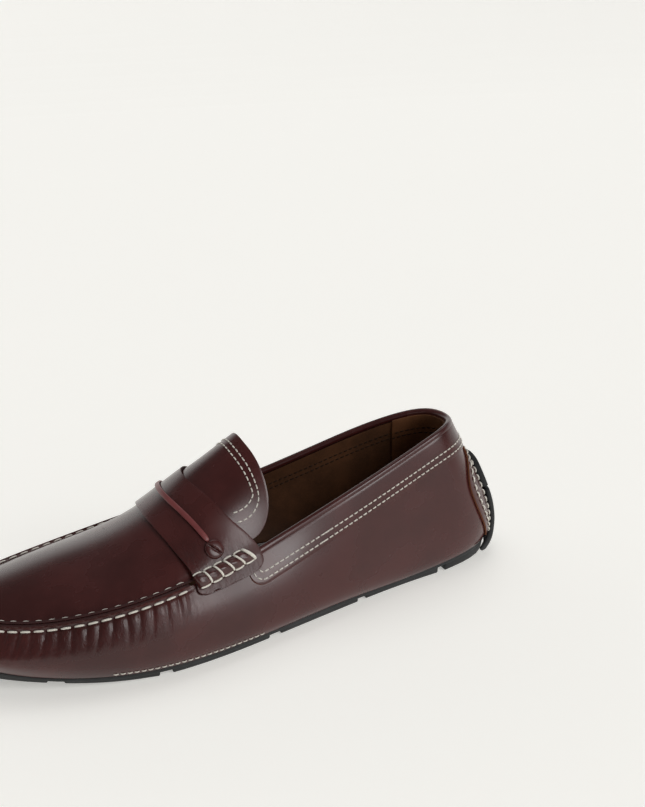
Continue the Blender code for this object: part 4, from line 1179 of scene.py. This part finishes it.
class MOCCASIN_OT_outsole(bpy.types.Operator):
    """The rubber sole: a thin sheet under the leather and two rings of rounded blocks, with its stitching"""
    bl_idname = "moccasin.outsole"
    bl_label = "Outsole"

    def execute(self, context):
        half = np.linspace(0, TOE, 91)
        us = np.concatenate([half, partner_u(half[1:-1])[::-1], [GIRTH]])
        shares = np.array([0.0, 0.03, 0.3, 0.65, 1.0])
        rows = np.array([under_foot(us, share, 0.5, -GAP) for share in shares])
        bm = new_mesh()
        drape(bm, rows, None, np.broadcast_to(UP, rows.shape))
        bmesh.ops.remove_doubles(bm, verts=bm.verts, dist=1e-6)
        sheet = bm
        mesh_finish = finish("rubber")
        piece("outsole_sheet", sheet, mesh_finish, ["outsole"], thick=SOLE_BASE + 0.4,
              rim=0.5)
        bm = new_mesh()
        for inner, outer in ((0.0, 0.40), (0.52, 0.88)):
            for run in self.block_runs():
                self.block(bm, run, inner, outer)
        corner = context.scene.moccasin_sole.corner
        bmesh.ops.remove_doubles(bm, verts=bm.verts, dist=1e-6)
        sharp = [edge for edge in bm.edges if len(edge.link_faces) == 2 and edge.calc_face_angle(0) > 0.6]
        bmesh.ops.bevel(bm, geom=sharp, offset=corner, offset_type="OFFSET", segments=2, profile=0.5,
                        affect="EDGES", material=-1, clamp_overlap=True)
        piece("outsole_blocks", bm, finish("rubber"), closed=True)
        s = context.scene.moccasin_stitching
        for side, word in ((-1, "lateral"), (1, "medial")):
            us = side_u(np.linspace(-73.0, -1.0, 80), side, FEATHER)
            bm = new_mesh()
            stitches(bm, wall(us, 0.06) + wall_normal(us, 0.06) * 0.05, wall_normal(us, 0.06),
                     s.machine_pitch / MM,
                     s.machine_length / MM, s.machine_thread / MM * 0.9, lift=0.8, sides=5)
            piece(f"sole_stitches_{word}", bm, finish("machine thread"), [f"sole_thread_{word}"],
                  closed=True)
        return {"FINISHED"}

    def block_runs(self):
        """Where each block of a ring starts and stops, going round the sole."""
        marks = []
        for side in (-1, 1):
            for pair in SOLE_GAPS:
                marks.append(sorted(side_u(x, side, FEATHER) for x in pair))
        marks.sort()
        runs = []
        after = marks[1:] + [[mark + GIRTH for mark in marks[0]]]
        for (_, begin), (end, _) in zip(marks, after):
            runs.append(np.linspace(begin, end, max(4, int((end - begin) / 4))))
        return runs

    def block(self, bm, us, inner, outer):
        """One block: a closed bar with four sides, from the sheet down to the ground."""
        u = np.mod(us, GIRTH)
        inset = 0.7
        corners = []
        for share, step, down in ((inner, 0.0, 0.0), (inner, 0.7, 1.0), (outer, 0.7, 1.0), (outer, 0.0, 0.0)):
            p = under_foot(u, share, inset + step, -GAP - 0.6)
            if down:
                p[:, 2] = tread_height(p[:, 0])
            corners.append(p)
        ring = np.array(corners + corners[:1])
        start, stop = ring[:, :1].mean(axis=0), ring[:, -1:].mean(axis=0)
        points = np.concatenate([np.broadcast_to(start, ring[:, :1].shape), ring,
                                 np.broadcast_to(stop, ring[:, :1].shape)], axis=1)
        drape(bm, points)


class MOCCASIN_OT_inside(bpy.types.Operator):
    """The linings, the footbed and its sock, and the stitches that show inside"""
    bl_idname = "moccasin.inside"
    bl_label = "Linings and footbed"

    def execute(self, context):
        s = context.scene.moccasin_stitching
        front, turn = ROLL_X[1] + 7.0, 42.0
        low = -LEATHER - GAP
        spans = (("quarter_lining_lateral", turn - 2.0, side_u(front, -1), low),
                 ("quarter_lining_medial", side_u(front, 1), GIRTH - turn + 2.0, low),
                 ("heel_lining", -turn, turn, low - 0.75))
        for name, start, stop, level in spans:
            us = np.linspace(start, stop, 90)
            rows, surface = [], []
            low_v = np.full_like(us, 0.10)
            top_v = v_below(us, 2.0)
            for share in np.linspace(0, 1, 16):
                v = top_v + (low_v - top_v) * share
                rows.append(wall(us, v) + wall_normal(us, v) * level)
                surface.append(spot(us + 100, share * 60))
            rows = np.array(rows)
            bm = new_mesh()
            drape(bm, rows, np.array(surface), -np.broadcast_to(outward(us), rows.shape))
            piece(f"{name}_leather", bm, finish("top lining" if name == "heel_lining" else "lining"), [name],
                  thick=0.7, rim=0.2)
            obj = bpy.data.objects[f"{name}_leather"]
            obj.modifiers["leather thickness"].offset = 1.0
        for depth in (11.2, 14.4):
            start, stop = top_range(ROLL_X[1] + 10.0)
            us = np.linspace(start, stop, 260)
            inside = np.where(np.abs(np.mod(us + GIRTH / 2, GIRTH) - GIRTH / 2) < turn, low - 1.45,
                              low - 0.72)
            path = skin(us, depth, inside)
            bm = new_mesh()
            stitches(bm, path, -wall_normal(us, 0.8), s.machine_pitch / MM, s.machine_length / MM,
                     s.machine_thread / MM, lift=0.6, sides=5)
            piece(f"lining_stitches_{'upper' if depth < 12 else 'lower'}", bm, finish("lining thread"),
                  closed=True)
        half = np.linspace(0, TOE, 101)
        us = np.concatenate([half, partner_u(half[1:-1])[::-1], [GIRTH]])
        rows = np.array([under_foot(us, share, 3.4, LEATHER + 2 * GAP + 3.0)
                         for share in (0.0, 0.02, 0.1, 0.25, 0.5, 0.75, 1.0)])
        rows[0] += UP * 0.4
        bm = new_mesh()
        drape(bm, rows, rows[..., :2], np.broadcast_to(UP, rows.shape))
        piece("insole_sock_leather", bm, finish("sock"), ["insole_sock"], thick=0.8,
              rim=0.2)
        for name, word in (("insole_foam", "foam"), ("heel_counter", "board")):
            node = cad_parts[name]
            node.material_slots[0].material = finish(word)
        return {"FINISHED"}


# ---- stage ------------------------------------------------------------------------------------------
CAMERA_PLACE = (-0.1399, -0.4572, 0.2698)
CAMERA_FORWARD = (0.3639, 0.8707, -0.3308)
CAMERA_ROLL = -0.0465
CAMERA_LENS = 47.5
PAPER_FLAT = 4.0      # radius of the flat paper, in metres; past it the paper curves up in rings
PAPER_RING = 0.5
PAPER_RISE = 0.0145
LAMPS = {"overhead": ((-0.05, 0.30, 1.0), 50.0), "top": ((0.36, 0.42, 0.83), 40.0),
         "key": ((0.42, -0.72, 0.55), 26.0), "side": ((0.45, -0.86, 0.16), 46.0)}      # towards, width


class MOCCASIN_OT_stage(bpy.types.Operator):
    """Pale paper under the shoe, plain soft studio light and the camera"""
    bl_idname = "moccasin.stage"
    bl_label = "Stage"

    def execute(self, context):
        studio = context.scene.moccasin_studio
        scene = context.scene
        scene.view_settings.view_transform = "Standard"
        bm = bmesh.new()
        bmesh.ops.create_circle(bm, cap_ends=True, segments=96, radius=PAPER_FLAT)
        bmesh.ops.transform(bm, matrix=Matrix.Translation((0.0, 0.0, -0.0002)), verts=bm.verts)
        for step in range(1, 13):
            rim = bmesh.ops.extrude_edge_only(bm, edges=[e for e in bm.edges if e.is_boundary])["geom"]
            rim = [v for v in rim if isinstance(v, bmesh.types.BMVert)]
            grow = (PAPER_FLAT + PAPER_RING * step) / (PAPER_FLAT + PAPER_RING * (step - 1))
            bmesh.ops.scale(bm, vec=(grow, grow, 1.0), verts=rim)
            bmesh.ops.translate(bm, vec=(0.0, 0.0, PAPER_RISE * step), verts=rim)
        bmesh.ops.recalc_face_normals(bm, faces=bm.faces)
        mesh = bpy.data.meshes.new("paper")
        bm.to_mesh(mesh)
        bm.free()
        paper = Recipe("studio paper", tuple(studio.floor), 0.9, emission_strength=studio.glow)
        paper.feed({"Emission Color": tuple(studio.floor)})
        fleck = paper.noise(paper.where("Object"), 3.0, 3.0)
        tint = paper.mix(fleck.ramp(0.3, 0.7), shaded(studio.floor, 0.995), tuple(studio.floor))
        paper.feed({"Base Color": tint})
        mesh.materials.append(paper.material)
        floor = bpy.data.objects.new("paper", mesh)
        scene.collection.objects.link(floor)
        self.room(scene, studio)
        for name, (towards, width) in LAMPS.items():
            self.lamp(name, getattr(studio, name), towards, width).visible_glossy = name != "overhead"
        lens = bpy.data.cameras.new("camera")
        lens.lens = CAMERA_LENS
        lens.sensor_width = 36.0
        lens.clip_start = 0.01
        camera = bpy.data.objects.new("camera", lens)
        scene.collection.objects.link(camera)
        turn = Vector(CAMERA_FORWARD).to_track_quat("-Z", "Y") @ Quaternion((0.0, 0.0, 1.0), CAMERA_ROLL)
        camera.rotation_mode = "QUATERNION"
        camera.rotation_quaternion = turn
        camera.location = CAMERA_PLACE
        scene.camera = camera
        return {"FINISHED"}

    def room(self, scene, studio):
        """A bright wall behind the shoe and a darker room in front of it."""
        world = bpy.data.worlds.new("studio")
        scene.world = world
        world.use_nodes = True
        sky = Nodes(world.node_tree)
        looking = sky.node("TexCoord")
        behind = sky.node("VectorMath", {"operation": "DOT_PRODUCT"}, {0: looking, 1: (0.30, 0.95, 0.0)}, 1)
        height = sky.node("SeparateXYZ", None, {0: looking}, 2)
        glow = behind.ramp(-0.15, 0.45) * height.ramp(0.26, 0.58, 1.0, 0.0)
        background = world.node_tree.nodes["Background"]
        background.inputs["Color"].default_value = (1.0, 0.99, 0.97, 1.0)
        sky.set(background.inputs["Strength"], studio.room + glow * studio.wall)

    def lamp(self, name, strength, towards, spread):
        """A large soft light, far off in one direction."""
        light = bpy.data.lights.new(name, "SUN")
        light.energy = strength
        light.angle = math.radians(spread)
        obj = bpy.data.objects.new(name, light)
        bpy.context.scene.collection.objects.link(obj)
        obj.rotation_mode = "QUATERNION"
        obj.rotation_quaternion = (-Vector(towards)).to_track_quat("-Z", "Y")
        return obj


# ---- add-on -----------------------------------------------------------------------------------------
SETTINGS = {"moccasin_colours": MoccasinColours, "moccasin_shine": MoccasinShine,
            "moccasin_stitching": MoccasinStitching, "moccasin_sole": MoccasinSole,
            "moccasin_studio": MoccasinStudio}
MAKERS = (MOCCASIN_OT_upper, MOCCASIN_OT_apron, MOCCASIN_OT_toe_seam, MOCCASIN_OT_saddle, MOCCASIN_OT_keeper,
          MOCCASIN_OT_rolls, MOCCASIN_OT_tongue, MOCCASIN_OT_collar, MOCCASIN_OT_heel, MOCCASIN_OT_outsole,
          MOCCASIN_OT_inside, MOCCASIN_OT_stage)


class MOCCASIN_PT_panel(bpy.types.Panel):
    """Settings and makers of the moccasin"""
    bl_idname = "MOCCASIN_PT_panel"
    bl_label = "Driving moccasin"
    bl_space_type = "VIEW_3D"
    bl_region_type = "UI"
    bl_category = "Moccasin"

    def draw(self, context):
        for name, group in SETTINGS.items():
            box = self.layout.box()
            for field in group.__annotations__:
                box.prop(getattr(context.scene, name), field)
        for maker in MAKERS:
            self.layout.operator(maker.bl_idname)


def register():
    for group in SETTINGS.values():
        bpy.utils.register_class(group)
    for name, group in SETTINGS.items():
        setattr(bpy.types.Scene, name, bpy.props.PointerProperty(type=group))
    for maker in (*MAKERS, MOCCASIN_PT_panel):
        bpy.utils.register_class(maker)


def unregister():
    for maker in reversed((*MAKERS, MOCCASIN_PT_panel)):
        bpy.utils.unregister_class(maker)
    for name, group in SETTINGS.items():
        delattr(bpy.types.Scene, name)
        bpy.utils.unregister_class(group)


def corners(box):
    return [[float(value) for value in corner] for corner in box]


def main():
    register()
    for maker in MAKERS:
        word = maker.bl_idname.split(".")[1]
        getattr(bpy.ops.moccasin, word)()


if __name__ == "__main__":
    main()
